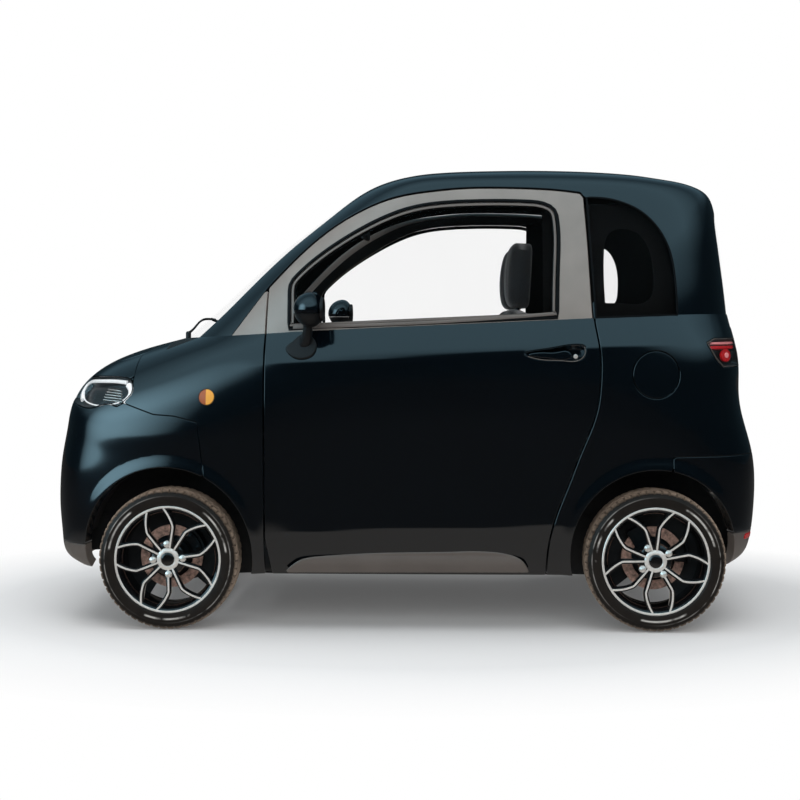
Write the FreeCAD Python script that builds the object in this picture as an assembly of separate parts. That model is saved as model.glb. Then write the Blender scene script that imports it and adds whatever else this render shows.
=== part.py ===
import FreeCAD, Part
import math
import os

os.makedirs("parts", exist_ok=True)
V = FreeCAD.Vector

# Axes: X forward, Y to the left, Z up. Origin on the ground under the middle of the car. Millimetres.

# Body shell
nose_x = 1253.0
tail_x = 1253.0
half_width = 736.0
sill_z = 190.0
belt_z = 1036.0
belt_rise = 0.043
roof_z = 1597.0
widest_x = -200.0
cowl_x = 810.0
cowl_z = 995.0
wall_t = 42.0
lid_t = 24.0
roof_t = 20.0
garnish_t = 4.0
glass_t = 5.0
glass_set_in = 1.5

# Gaps between panels
shut_gap = 5.0
seam = 0.3
fit = 0.05

# Wheels and axles
front_axle_x = 802.0
rear_axle_x = -860.0
tyre_r = 241.0
tyre_w = 158.0
track = 1232.0
rim_lip_r = 179.0
rim_barrel_r = 165.0
rim_wall = 6.0
spoke_count = 5
nut_count = 4
nut_circle_r = 54.0
nut_r = 11.0
hub_r = 60.0
cap_r = 26.0
disc_r = 108.0
disc_t = 10.0
spindle_r = 17.0
kingpin_in = 56.0
kingpin_y = track / 2 - kingpin_in
kingpin_r = 8.0
post_r = 18.0
ball_spread = 100.0

# Wheel arches
front_arch_x = 810.0
front_arch_z = 258.0
front_arch_r = 298.0
rear_arch_x = -857.0
rear_arch_z = 266.0
rear_arch_r = 286.0
liner_t = 4.0
liner_y = 395.0

# Towing eye socket
tow_y = -220.0
tow_z = 325.0
tow_face_x = nose_x - 38
tow_depth = 45.0
tow_hole_r = 8.0
tow_boss_r = 16.0
tow_clear_r = 24.0

# Holes for a plate holder
plate_spacing = 300.0
plate_hole_r = 2.5
plate_z = 480.0

# Doors
door_front_x = 466.0
hinge_pin_r = 2.2
hinge_len = 60.0

# Chassis and cabin
rail_y = 300.0
rail_w = 50.0
rail_h = 60.0
rail_z = 165.0
rail_kick_z = 295.0
floor_t = 20.0
seat_y = 255.0
seat_w = 430.0
column_z = 850.0
column_x = 230.0
column_tilt = 25.0
wheel_rim_r = 172.0

saved = []


def save(name, shape):
    """Writes one named piece, as a single solid or a compound of solids."""
    solids = shape.Solids
    out = solids[0] if len(solids) == 1 else Part.makeCompound(solids)
    out.exportStep("parts/" + name + ".step")
    saved.append(name)
    print(name, len(solids), round(sum(s.Volume for s in solids) / 1e6, 2), out.isValid())


def natural_curve(points, knots=None):
    """Gives a function of 0..1 through the points: a natural cubic in chord length or in the knots."""
    count = len(points)
    size = len(points[0])
    if knots is None:
        knots = [0.0]
        for i in range(1, count):
            knots.append(knots[-1] + math.dist(points[i], points[i - 1]))
    step = [knots[i + 1] - knots[i] for i in range(count - 1)]
    bends = []
    for k in range(size):
        diag = [1.0] * count
        upper = [0.0] * count
        right = [0.0] * count
        for i in range(1, count - 1):
            rise = (points[i + 1][k] - points[i][k]) / step[i] - (points[i][k] - points[i - 1][k]) / step[i - 1]
            diag[i] = 2 * (step[i - 1] + step[i]) - step[i - 1] * upper[i - 1]
            upper[i] = step[i] / diag[i]
            right[i] = (6 * rise - step[i - 1] * right[i - 1]) / diag[i]
        bend = [0.0] * count
        for i in range(count - 2, 0, -1):
            bend[i] = right[i] - upper[i] * bend[i + 1]
        bends.append(bend)

    def at(share):
        s = min(max(share, 0.0), 1.0) * knots[-1]
        i = 0
        while i < count - 2 and s >= knots[i + 1]:
            i += 1
        a = knots[i + 1] - s
        b = s - knots[i]
        h = step[i]
        out = []
        for k in range(size):
            m0 = bends[k][i]
            m1 = bends[k][i + 1]
            p0 = points[i][k] / h - m0 * h / 6
            p1 = points[i + 1][k] / h - m1 * h / 6
            out.append((m0 * a ** 3 + m1 * b ** 3) / (6 * h) + p0 * a + p1 * b)
        return out

    return at


# Half profiles of the lower body: nose and tail in the plane of symmetry as (x, z), the side as (y, z)
nose_line = natural_curve([
    (nose_x - 66, sill_z), (nose_x - 22, sill_z + 32), (nose_x - 6, sill_z + 110), (nose_x, sill_z + 210),
    (nose_x - 1, sill_z + 310), (nose_x - 10, sill_z + 410), (nose_x - 28, sill_z + 510),
    (cowl_x + 397, cowl_z - 210), (cowl_x + 354, cowl_z - 143), (cowl_x + 288, cowl_z - 92),
    (cowl_x + 200, cowl_z - 53), (cowl_x + 100, cowl_z - 23), (cowl_x, cowl_z)])
side_line = natural_curve([
    (half_width - 84, sill_z), (half_width - 46, sill_z + 72), (half_width - 27, sill_z + 145),
    (half_width - 14, sill_z + 290), (half_width - 5, sill_z + 460), (half_width, belt_z - 236),
    (half_width - 2, belt_z - 136), (half_width - 14, belt_z - 56), (half_width - 36, belt_z)])
tail_line = natural_curve([
    (-tail_x + 85, sill_z + 15), (-tail_x + 38, sill_z + 45), (-tail_x + 14, sill_z + 110),
    (-tail_x + 3, sill_z + 210), (-tail_x, sill_z + 310), (-tail_x + 9, sill_z + 400),
    (-tail_x + 30, sill_z + 480), (-tail_x + 48, belt_z - 296), (-tail_x + 54, belt_z - 226),
    (-tail_x + 50, belt_z - 156), (-tail_x + 53, belt_z - 86), (-tail_x + 67, belt_z - 21),
    (-tail_x + 81, belt_z + 42)])

# Half profiles of the upper body, point by point on the same rings
screen_line = natural_curve([
    (cowl_x, cowl_z), (cowl_x - 110, cowl_z + 93), (cowl_x - 234, cowl_z + 205), (cowl_x - 360, roof_z - 285),
    (cowl_x - 488, roof_z - 185), (cowl_x - 610, roof_z - 100), (cowl_x - 714, roof_z - 45),
    (cowl_x - 800, roof_z - 17), (cowl_x - 860, roof_z - 6), (cowl_x - 905, roof_z - 1),
    (cowl_x - 940, roof_z + 2)], range(11))
cant_line = natural_curve([
    (half_width - 36, belt_z), (half_width - 47, belt_z + 74), (half_width - 66, belt_z + 179),
    (half_width - 86, belt_z + 279), (half_width - 107, roof_z - 192), (half_width - 129, roof_z - 107),
    (half_width - 156, roof_z - 60), (half_width - 216, roof_z - 30), (half_width - 336, roof_z - 12),
    (half_width - 526, roof_z - 3), (0, roof_z)], range(11))
back_line = natural_curve([
    (-tail_x + 81, belt_z + 42), (-tail_x + 89, belt_z + 134), (-tail_x + 99, belt_z + 234),
    (-tail_x + 109, roof_z - 233), (-tail_x + 121, roof_z - 153), (-tail_x + 139, roof_z - 95),
    (-tail_x + 179, roof_z - 63), (-tail_x + 244, roof_z - 41), (-tail_x + 334, roof_z - 23),
    (-tail_x + 424, roof_z - 9), (-tail_x + 504, roof_z - 1)], range(11))


# Centre line of the roof as (x, height over roof_z), and how far the roof falls towards its sides
roof_points = [
    (322, -185), (200, -100), (96, -45), (10, -17), (-50, -5), (-130, 3), (-300, 9), (-450, 10),
    (-600, 7), (-749, -1), (-829, -9), (-919, -23), (-1009, -41), (-1090, -70)]
roof_line = natural_curve(roof_points, [roof_points[0][0] - x for x, rise in roof_points])
roof_camber = 30.0
camber_half = half_width - 216


def roof_height(x, y):
    share = (roof_points[0][0] - x) / (roof_points[0][0] - roof_points[-1][0])
    return roof_z + roof_line(share)[1] - roof_camber * (abs(y) / camber_half) ** 3


def plan_point(angle, power):
    c = math.cos(angle)
    s = max(math.sin(angle), 0.0)
    return math.copysign(abs(c) ** (2 / power), c), s ** (2 / power)


def even_angles(steps=800, power=4.0, aspect=2.0):
    """Table of the plan angle against the share of the way round a half ring."""
    way = [0.0]
    last = plan_point(0.0, power)
    for i in range(1, steps + 1):
        now = plan_point(math.pi * i / steps, power)
        way.append(way[-1] + math.hypot(aspect * (now[0] - last[0]), now[1] - last[1]))
        last = now
    return [w / way[-1] for w in way]


ring_table = even_angles()


def ring_angle(share):
    steps = len(ring_table) - 1
    low = 0
    high = steps
    while high - low > 1:
        mid = (low + high) // 2
        if ring_table[mid] <= share:
            low = mid
        else:
            high = mid
    part = (share - ring_table[low]) / (ring_table[high] - ring_table[low])
    return math.pi * (low + part) / steps


def ring_point(front, side, rear, power, share, side_height):
    """A point of one ring: a superellipse in plan, its height going from the ends' to the side's."""
    flip = -1 if share < 0 or share > 1 else 1
    share = -share if share < 0 else (2 - share if share > 1 else share)
    cx, sy = plan_point(ring_angle(share), power)
    end = front if cx >= 0 else rear
    x = widest_x + (end[0] - widest_x) * abs(cx)
    weight = sy ** 3
    z = end[1] * (1 - weight) + side_height(x, side[1]) * weight
    return V(x, flip * side[0] * sy, z)


def belt_at(x):
    return belt_z - belt_rise * x


def lower_point(t, s):
    w = min(max((t - 0.55) / 0.45, 0.0), 1.0)
    power = 5.2 - 1.2 * w * w * (3 - 2 * w)

    def height(x, z):
        return sill_z + (z - sill_z) * (belt_at(x) - sill_z) / (belt_z - sill_z)

    return ring_point(nose_line(t), side_line(t), tail_line(t), power, s, height)


def upper_point(t, s):
    def height(x, z):
        w = min(max((roof_z - 43 - z) / (roof_z - 43 - belt_z), 0.0), 1.0)
        return z + w * (belt_at(x) - belt_z)

    p = ring_point(screen_line(t), cant_line(t), back_line(t), 4.0, s, height)
    w = min(max((t - 0.5) / 0.25, 0.0), 1.0)
    w = w * w * (3 - 2 * w)
    p.z = p.z * (1 - w) + roof_height(p.x, p.y) * w
    return p


def skin_normal(point_at, t, s):
    step = 0.004
    low = max(t - step, 0.0)
    high = min(t + step, 1.0)
    along = point_at(high, s) - point_at(low, s)
    around = point_at(t, s + step) - point_at(t, s - step)
    n = around.cross(along)
    n.normalize()
    return n


def inward(point_at, t, s):
    """Direction into the car; both skins share one direction along the belt."""
    n = skin_normal(point_at, t, s)
    if point_at is lower_point and t > 0.8:
        belt_n = skin_normal(upper_point, 0.0, s)
        w = (t - 0.8) / 0.2
        n = n * (1 - w) + belt_n * w
        n.normalize()
    return n * -1


shells = {}
rows = 17
columns = 33
overlap = 2
upper_end = 0.82
lower_end = 0.9992
roof_seam = 0.6


def half_shell(point_at, outer, inner):
    """Left half of a skin between two depths below the surface, fitted wider and trimmed at y = 0."""
    key = (point_at.__name__, outer, inner)
    if key in shells:
        return shells[key]
    last = upper_end if point_at is upper_point else lower_end
    surfaces = []
    for depth in (outer, inner):
        grid = []
        for i in range(rows):
            t = last * i / (rows - 1)
            line = []
            for j in range(-overlap, columns + overlap):
                s = j / (columns - 1)
                far = s < 0 or s > 1
                s_in = -s if s < 0 else (2 - s if s > 1 else s)
                p = point_at(t, s_in) + inward(point_at, t, s_in) * depth
                if far:
                    p.y *= -1
                line.append(p)
            grid.append(line)
        surface = Part.BSplineSurface()
        surface.interpolate(grid)
        u0, u1, v0, v1 = surface.bounds()
        start = surface.parameter(grid[rows // 2][overlap])[1]
        stop = surface.parameter(grid[rows // 2][columns - 1 + overlap])[1]
        surface.segment(u0, u1, start, stop)
        surfaces.append(surface)
    faces = [surface.toShape() for surface in surfaces]
    u0, u1, v0, v1 = surfaces[0].bounds()
    a0, a1, b0, b1 = surfaces[1].bounds()
    for outer_line, inner_line in (
            (surfaces[0].uIso(u0), surfaces[1].uIso(a0)), (surfaces[0].uIso(u1), surfaces[1].uIso(a1)),
            (surfaces[0].vIso(v0), surfaces[1].vIso(b0)), (surfaces[0].vIso(v1), surfaces[1].vIso(b1))):
        faces.append(Part.makeRuledSurface(outer_line.toShape(), inner_line.toShape()))
    shell = Part.makeShell(faces)
    shell.sewShape()
    solid = Part.makeSolid(shell)
    if solid.Volume < 0:
        solid.reverse()
    shells[key] = solid
    return solid


def lower_skin(outer, inner):
    return half_shell(lower_point, outer, inner)


def upper_skin(outer, inner):
    return half_shell(upper_point, outer, inner)


def smooth_wire(points, straight=()):
    """Closed outline in a plane: a spline through the points of each run, split at the corner points."""
    edges = []
    run = [points[0]]
    for i in range(1, len(points) + 1):
        p = points[i % len(points)]
        run.append(p)
        if i % len(points) in straight or i == len(points):
            if len(run) == 2:
                edges.append(Part.LineSegment(run[0], run[1]).toShape())
            else:
                curve = Part.BSplineCurve()
                curve.interpolate(run)
                edges.append(curve.toShape())
            run = [p]
    return Part.Wire(edges)


def side_prism(points, y0, y1, corners=None):
    """Prism along Y from a side-view outline of (x, z) points; corners lists the sharp ones."""
    corners = range(len(points)) if corners is None else corners
    wire = smooth_wire([V(x, y0, z) for x, z in points], corners)
    return Part.Face(wire).extrude(V(0, y1 - y0, 0))


def plan_prism(points, z0, z1, corners=None):
    corners = range(len(points)) if corners is None else corners
    wire = smooth_wire([V(x, y, z0) for x, y in points], corners)
    return Part.Face(wire).extrude(V(0, 0, z1 - z0))


def front_prism(points, x0, x1, corners=None):
    corners = range(len(points)) if corners is None else corners
    wire = smooth_wire([V(x0, y, z) for y, z in points], corners)
    return Part.Face(wire).extrude(V(x1 - x0, 0, 0))


def box(x0, x1, y0, y1, z0, z1):
    return Part.makeBox(x1 - x0, y1 - y0, z1 - z0, V(x0, y0, z0))


def rod(radius, start, end):
    axis = V(*end) - V(*start)
    return Part.makeCylinder(radius, axis.Length, V(*start), axis)


def mirrored(shape):
    return shape.mirror(V(0, 0, 0), V(0, 1, 0))


def both(shape):
    """The left piece and its mirror image, fused where they meet on the plane of symmetry."""
    return shape.fuse(mirrored(shape))


def trimmed_both(shape):
    """The same, after a hair is trimmed from the middle so that two true planes meet."""
    hair = 0.2
    half = shape.cut(box(-beyond, beyond, -beyond, hair, -beyond, beyond))
    half.translate(V(0, -hair, 0))
    return half.fuse(mirrored(half))


def reach(shape, start, end):
    """Where a straight line leaves a shape: the far end of what they share, as seen from the start."""
    shared = shape.common(Part.makeLine(V(*start), V(*end)))
    return max((v.Point for v in shared.Vertexes), key=lambda p: (p - V(*start)).Length)


def roof_plug():
    """Slightly tapered plug inside the ring where the upper skin ends, its side along the ring's end face."""
    wires = []
    for z in (roof_z - 160, roof_z + 60):
        half = []
        for j in range(25):
            share = j / 24
            p = upper_point(upper_end, share)
            way = inward(upper_point, upper_end, share)
            q = p + way * ((z - p.z) / way.z)
            k = 1 - roof_seam / math.hypot(q.x - widest_x, q.y)
            half.append(V(widest_x + (q.x - widest_x) * k, q.y * k, z))
        points = half + [V(p.x, -p.y, z) for p in half[-2:0:-1]]
        curve = Part.BSplineCurve()
        curve.interpolate(points, PeriodicFlag=True)
        wires.append(Part.Wire(curve.toShape()))
    return Part.makeLoft(wires, True, True)


def roof_panel():
    """Crowned panel that fills the ring where the upper skin ends."""
    prism = roof_plug()
    x0 = prism.BoundBox.XMin - 30
    x_step = (prism.BoundBox.XLength + 60) / 16
    skins = []
    for depth in (0, roof_t):
        grid = []
        for i in range(17):
            x = x0 + x_step * i
            grid.append([V(x, y, roof_height(x, y) - depth) for y in [-420 + 60 * k for k in range(15)]])
        surface = Part.BSplineSurface()
        surface.interpolate(grid)
        skins.append(surface)
    slab = skins[1].toShape().extrude(V(0, 0, roof_t))
    return slab.common(prism)


def grown(points, by):
    """Outline moved outwards by a distance, corner by corner."""
    count = len(points)
    area = sum(points[i][0] * points[(i + 1) % count][1] - points[(i + 1) % count][0] * points[i][1]
               for i in range(count))
    turn = 1 if area > 0 else -1
    out = []
    for i in range(count):
        a = points[i - 1]
        b = points[i]
        c = points[(i + 1) % count]
        n1 = (turn * (b[1] - a[1]), -turn * (b[0] - a[0]))
        n2 = (turn * (c[1] - b[1]), -turn * (c[0] - b[0]))
        l1 = math.hypot(*n1)
        l2 = math.hypot(*n2)
        n1 = (n1[0] / l1, n1[1] / l1)
        n2 = (n2[0] / l2, n2[1] / l2)
        k = by / (1 + n1[0] * n2[0] + n1[1] * n2[1])
        out.append((b[0] + (n1[0] + n2[0]) * k, b[1] + (n1[1] + n2[1]) * k))
    return out


side_out = half_width + 60
beyond = 2000.0

# Side-view outlines, as (x, z)
door_rear_x = -641.0
door_top_z = 1511.0
door_lower_outline = [
    (door_front_x, 2 * belt_z), (door_front_x, sill_z + 130), (door_front_x - 12, sill_z + 50),
    (door_front_x - 24, sill_z - 20), (door_rear_x + 153, sill_z - 20), (door_rear_x + 147, sill_z + 100),
    (door_rear_x + 118, sill_z + 218), (door_rear_x + 80, sill_z + 315), (door_rear_x + 40, sill_z + 420),
    (door_rear_x - 12, sill_z + 555), (door_rear_x - 27, sill_z + 670), (door_rear_x - 26, sill_z + 760),
    (door_rear_x - 14, belt_z - 10), (door_rear_x, belt_z + 105), (door_rear_x, 2 * belt_z)]
door_lower_corners = [0, 1, 3, 4, 13, 14]
door_upper_outline = [
    (door_front_x, belt_z - 100), (door_front_x, belt_z + 135), (door_front_x - 118, belt_z + 258),
    (door_front_x - 230, belt_z + 349), (door_front_x - 323, belt_z + 402), (door_front_x - 436, belt_z + 444),
    (door_front_x - 560, belt_z + 465), (door_front_x - 664, door_top_z), (door_rear_x + 258, door_top_z + 1),
    (door_rear_x + 107, door_top_z - 7), (door_rear_x + 32, door_top_z - 16), (door_rear_x + 20, door_top_z - 30),
    (door_rear_x + 6, door_top_z - 248), (door_rear_x, belt_z + 105), (door_rear_x - 14, belt_z - 100)]
door_upper_corners = [0, 1, 10, 11, 14]
window_outline = [
    (387, belt_z - 8), (390, belt_z + 107), (386, belt_z + 152), (363, belt_z + 182), (276, belt_z + 256),
    (183, belt_z + 317), (92, belt_z + 366), (-32, belt_z + 412), (-198, belt_z + 432), (-431, belt_z + 432),
    (-490, belt_z + 423), (-522, belt_z + 401), (-532, belt_z + 366), (-532, belt_z + 204), (-527, belt_z + 31)]
window_corners = [0, 14]
sail_outline = [(590, belt_z - 200), (590, belt_z - 29), (door_front_x + shut_gap, belt_z + 135),
                (door_front_x + shut_gap, belt_z - 200)]
quarter_outline = [
    (door_rear_x - 18, belt_z + 31), (door_rear_x - 5, door_top_z - 248), (door_rear_x + 8, door_top_z - 30),
    (door_rear_x - 59, door_top_z - 33), (door_rear_x - 110, door_top_z - 45), (door_rear_x - 171, door_top_z - 72),
    (door_rear_x - 220, door_top_z - 113), (door_rear_x - 257, door_top_z - 165),
    (door_rear_x - 281, door_top_z - 226), (door_rear_x - 292, door_top_z - 294),
    (door_rear_x - 297, door_top_z - 368), (door_rear_x - 299, belt_z + 41)]
quarter_corners = [0, 2, 11]
head_lamp_outline = [
    (nose_x - 20, belt_z - 232), (nose_x - 100, belt_z - 276), (nose_x - 180, belt_z - 280),
    (nose_x - 240, belt_z - 268), (nose_x - 272, belt_z - 274), (nose_x - 294, belt_z - 255),
    (nose_x - 315, belt_z - 234), (nose_x - 320, belt_z - 206), (nose_x - 308, belt_z - 183),
    (nose_x - 278, belt_z - 176), (nose_x - 215, belt_z - 175), (nose_x - 120, belt_z - 178),
    (nose_x - 60, belt_z - 190)]
head_lamp_in_y = 330.0
tail_lamp_outline = [
    (-tail_x + 212, belt_z - 55), (-tail_x + 183, belt_z - 40), (-tail_x - 30, belt_z - 40),
    (-tail_x - 30, belt_z - 138), (-tail_x + 150, belt_z - 139), (-tail_x + 179, belt_z - 110)]
tail_lamp_in_y = 410.0
split_line = [
    (nose_x - 318, belt_z - 200), (nose_x - 293, belt_z - 262), (nose_x - 403, belt_z - 299),
    (nose_x - 476, belt_z - 304), (nose_x - 557, belt_z - 325), (front_arch_x - 139, front_arch_z + 240)]

# Plan outlines, as (x, y)
hood_rear_x = cowl_x + 30
hood_half = 470.0
hood_outline = [
    (hood_rear_x - 60, -10), (hood_rear_x - 60, hood_half - 170), (hood_rear_x - 30, hood_half - 98),
    (hood_rear_x + 10, hood_half - 52), (hood_rear_x + 65, hood_half - 32), (hood_rear_x + 115, hood_half - 38),
    (hood_rear_x + 220, hood_half - 110), (hood_rear_x + 285, hood_half - 210),
    (hood_rear_x + 316, hood_half - 340), (hood_rear_x + 322, -10)]
hood_corners = [0, 1, 9]
hood_lean = 0.45

# Front and rear view outlines, as (y, z)
screen_half = 500.0
screen_outline = [
    (-10, cowl_z - 60), (screen_half + 40, cowl_z - 60), (screen_half + 12, cowl_z + 60),
    (screen_half - 10, cowl_z + 180), (screen_half - 30, cowl_z + 350), (screen_half - 55, cowl_z + 480),
    (screen_half - 85, cowl_z + 528), (screen_half - 130, cowl_z + 558), (screen_half - 190, cowl_z + 566),
    (-10, cowl_z + 566)]
screen_corners = [0, 1, 8, 9]
hatch_half = 395.0
hatch_top_z = 1440.0
hatch_bottom_z = 600.0
hatch_outline = [
    (-10, hatch_bottom_z), (hatch_half - 60, hatch_bottom_z), (hatch_half - 14, hatch_bottom_z + 18),
    (hatch_half, hatch_bottom_z + 70), (hatch_half, belt_z - 100), (hatch_half, belt_z + 42),
    (hatch_half - 5, hatch_top_z - 120), (hatch_half - 30, hatch_top_z - 30), (hatch_half - 90, hatch_top_z),
    (-10, hatch_top_z)]
hatch_corners = [0, 1, 3, 5, 8, 9]
flap_x = -859.0
flap_z = 874.0
flap_r = 79.0
marker_x = 664.0
marker_z = 797.0
marker_r = 27.0

front_arch = Part.makeCylinder(front_arch_r, side_out, V(front_arch_x, 0, front_arch_z), V(0, 1, 0))
rear_arch = Part.makeCylinder(rear_arch_r, side_out, V(rear_arch_x, 0, rear_arch_z), V(0, 1, 0))


door_low_cut = side_prism(grown(door_lower_outline, shut_gap), 0, side_out, door_lower_corners)
door_up_cut = side_prism(grown(door_upper_outline, shut_gap), 0, side_out, door_upper_corners)
hatch_cut = front_prism(grown(hatch_outline, shut_gap), -2 * tail_x, -tail_x / 2, hatch_corners)
screen_cut = front_prism(grown(screen_outline, seam), widest_x, beyond, screen_corners)
quarter_cut = side_prism(grown(quarter_outline, seam), 0, side_out, quarter_corners)
sail_cut = side_prism(grown(sail_outline, seam), 0, side_out)
lamp_corners = []
head_lamp_cut = side_prism(grown(head_lamp_outline, seam), head_lamp_in_y - seam, side_out, lamp_corners)
tail_lamp_cut = side_prism(grown(tail_lamp_outline, seam), tail_lamp_in_y - seam, side_out)


def hood_prism(by):
    """The lid's outline grown by a distance, as a prism that leans the way the lid's front edge moves."""
    skin = lower_skin(0, lid_t)
    base = []
    for x, y in grown(hood_outline, by):
        at = (max(x, hood_rear_x - shut_gap), max(y, 1))
        top = reach(skin, at + (sill_z,), at + (beyond,)).z
        base.append(V(x - hood_lean * top, y, 0))
    prism = Part.Face(smooth_wire(base, hood_corners)).extrude(V(hood_lean * beyond, 0, beyond))
    return prism.common(box(hood_rear_x - by, beyond, -10, beyond, sill_z + 300, beyond))


def door_hinges(z_list):
    """Barrels in the front shut line of the door, on the fender's side, level with its widest place."""
    out = None
    x = door_front_x + shut_gap / 2
    widest_z = belt_z - 220
    y = reach(lower_skin(0, wall_t), (x, 0, widest_z), (x, side_out, widest_z)).y
    for z in z_list:
        pin = Part.makeCylinder(hinge_pin_r, hinge_len, V(x, y, z))
        leaf = box(x, x + 14, y - 16, y - 0.5, z, z + hinge_len)
        out = pin.fuse(leaf) if out is None else out.fuse(pin).fuse(leaf)
    return out


def cross_hinge(x, z, y, x0, x1, z0, z1):
    """Barrel along Y in a shut line, with a leaf that reaches into the fixed side."""
    pin = Part.makeCylinder(hinge_pin_r, hinge_len, V(x, y, z), V(0, 1, 0))
    return pin.fuse(box(x + x0, x + x1, y, y + hinge_len, z + z0, z + z1))


def main_panels():
    wall = lower_skin(0, wall_t)
    door = wall.common(side_prism(door_lower_outline, 0, side_out, door_lower_corners)).fuse(sill_garnish())
    save("door_left", door)
    save("door_right", mirrored(door))

    ahead = wall.common(box(door_front_x + shut_gap, beyond, -10, side_out, 0, beyond))
    ahead = ahead.cut(front_arch).cut(hood_prism(shut_gap))
    fender_zone = side_prism(
        [(door_front_x, 0), (door_front_x, beyond), (nose_x - 348, beyond)] + split_line
        + [(front_arch_x - 139, 0)], 0, side_out)
    cowl_zone = box(0, hood_rear_x - shut_gap - seam, -10, hood_half + 50, 0, beyond)
    cowl = lower_skin(0, wall_t).common(cowl_zone)
    cowl = cowl.common(box(cowl_x - 140, beyond, -10, side_out, cowl_z - 120, beyond))
    fender = ahead.common(fender_zone).cut(box(0, hood_rear_x, -10, hood_half + 50 + seam, 0, beyond))
    fender = fender.cut(head_lamp_cut).fuse(door_hinges((belt_z - 370, belt_z - 190)))
    save("front_fender_left", fender)
    save("front_fender_right", mirrored(fender))
    bumper = ahead.cut(side_prism(
        [(door_front_x - 5, 0), (door_front_x - 5, beyond), (nose_x - 348 + seam, beyond)]
        + [(x + seam, z - seam) for x, z in split_line] + [(front_arch_x - 139 + seam, 0)], 0, side_out))
    bumper = bumper.cut(head_lamp_cut).cut(box(0, hood_rear_x, -10, hood_half + 50 + seam, 0, beyond))
    tow_opening = Part.makeCylinder(tow_clear_r, 200, V(tow_face_x - 60, tow_y, tow_z), V(1, 0, 0))
    save("front_bumper", both(bumper).cut(tow_opening))
    lid = lower_skin(0, lid_t).common(hood_prism(0))
    save("hood", both(lid))
    hinge_at = reach(lower_skin(0, lid_t), (hood_rear_x - shut_gap / 2, 1, 0), (hood_rear_x - shut_gap / 2, 1, beyond))
    cowl_hinge = cross_hinge(hinge_at.x, hinge_at.z - hinge_pin_r, 100, -10, 0, -1.5, 0)
    save("cowl_and_wipers", both(cowl.fuse(cowl_hinge)).fuse(wiper()))
    lamps = lower_skin(0, wall_t).common(
        side_prism(head_lamp_outline, head_lamp_in_y, side_out, lamp_corners))
    save("head_lamps", Part.makeCompound([lamps, mirrored(lamps)]))

    behind = wall.common(box(-beyond, door_rear_x + 200, -10, side_out, 0, beyond))
    behind = behind.cut(door_low_cut).cut(rear_arch).cut(hatch_cut).cut(tail_lamp_cut)
    bumper_top = hatch_bottom_z - shut_gap
    rear_bumper = behind.common(box(-beyond, rear_arch_x - 60, -10, side_out, 0, bumper_top))
    quarter = behind.cut(box(-beyond, rear_arch_x - 60 + seam, -10, side_out, 0, bumper_top + seam))
    pocket_at = V(flap_x, 0, flap_z)
    lid_zone = Part.makeCylinder(flap_r, side_out, pocket_at, V(0, 1, 0))
    pocket_zone = Part.makeCylinder(flap_r + shut_gap, side_out, pocket_at, V(0, 1, 0))
    flap_t = 6.0
    pocket = lower_skin(-5, flap_t + 12).common(pocket_zone)
    pin_x = flap_x + flap_r + shut_gap / 2
    flap_hinge = reach(wall, (pin_x, 0, flap_z), (pin_x, side_out, flap_z))
    flap_pin = Part.makeCylinder(hinge_pin_r, 30, V(pin_x, flap_hinge.y - 1, flap_z - 15))
    flap_leaf = box(pin_x, pin_x + 10, flap_hinge.y - 12, flap_hinge.y - 1.5, flap_z - 15, flap_z + 15)
    left_quarter = quarter.cut(pocket).fuse(flap_pin.fuse(flap_leaf))
    save("rear_quarter_left", left_quarter)
    save("rear_quarter_right", mirrored(quarter))
    save("charge_flap", lower_skin(0, flap_t).common(lid_zone))
    rear_bumper = trimmed_both(rear_bumper)
    for y in (-plate_spacing / 2, plate_spacing / 2):
        rear_bumper = rear_bumper.cut(Part.makeCylinder(plate_hole_r, 200, V(-tail_x - 50, y, plate_z), V(1, 0, 0)))
    save("rear_bumper", rear_bumper)
    hatch = wall.common(front_prism(hatch_outline, -2 * tail_x, -tail_x / 2, hatch_corners))
    save("tailgate", trimmed_both(hatch))
    lamps = lower_skin(0, wall_t).common(side_prism(tail_lamp_outline, tail_lamp_in_y, side_out))
    save("tail_lamps", Part.makeCompound([lamps, mirrored(lamps)]))

    frame_wall = upper_skin(0, wall_t)
    frame = frame_wall.common(side_prism(door_upper_outline, 0, side_out, door_upper_corners))
    frame = frame.cut(side_prism(window_outline, 0, side_out, window_corners))
    save("door_frame_left", frame)
    save("door_frame_right", mirrored(frame))
    pane = upper_skin(glass_set_in, glass_set_in + glass_t)
    glass = pane.common(side_prism(grown(window_outline, -seam), 0, side_out, window_corners))
    save("door_glass_left", glass)
    save("door_glass_right", mirrored(glass))
    sail = frame_wall.common(side_prism(sail_outline, 0, side_out))
    save("sail_panels", Part.makeCompound([sail, mirrored(sail)]))

    roof = upper_skin(0, roof_t).cut(door_up_cut).cut(quarter_cut).cut(screen_cut).cut(hatch_cut)
    roof = roof.cut(sail_cut)
    hinge_z = hatch_top_z + shut_gap / 2
    back_at = reach(upper_skin(0, roof_t), (0, 1, hinge_z), (-beyond, 1, hinge_z))
    roof = roof.fuse(cross_hinge(back_at.x, hinge_z, 60, 1, 14, 0, 10))
    save("roof_and_pillars", Part.makeCompound([roof, mirrored(roof)]))
    save("roof_panel", roof_panel())
    screen = both(pane.common(front_prism(screen_outline, widest_x, beyond, screen_corners)))
    side_pane = pane.common(side_prism(quarter_outline, 0, side_out, quarter_corners))
    save("fixed_glass", Part.makeCompound(screen.Solids + [side_pane, mirrored(side_pane)]))
    hatch_pane = pane.common(front_prism(hatch_outline, -2 * tail_x, -tail_x / 2, hatch_corners))
    save("rear_glass", trimmed_both(hatch_pane))


def ring(outer, inner, y0, y1, x=0.0, z=0.0):
    body = Part.makeCylinder(outer, y1 - y0, V(x, y0, z), V(0, 1, 0))
    return body.cut(Part.makeCylinder(inner, y1 - y0, V(x, y0, z), V(0, 1, 0)))


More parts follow.
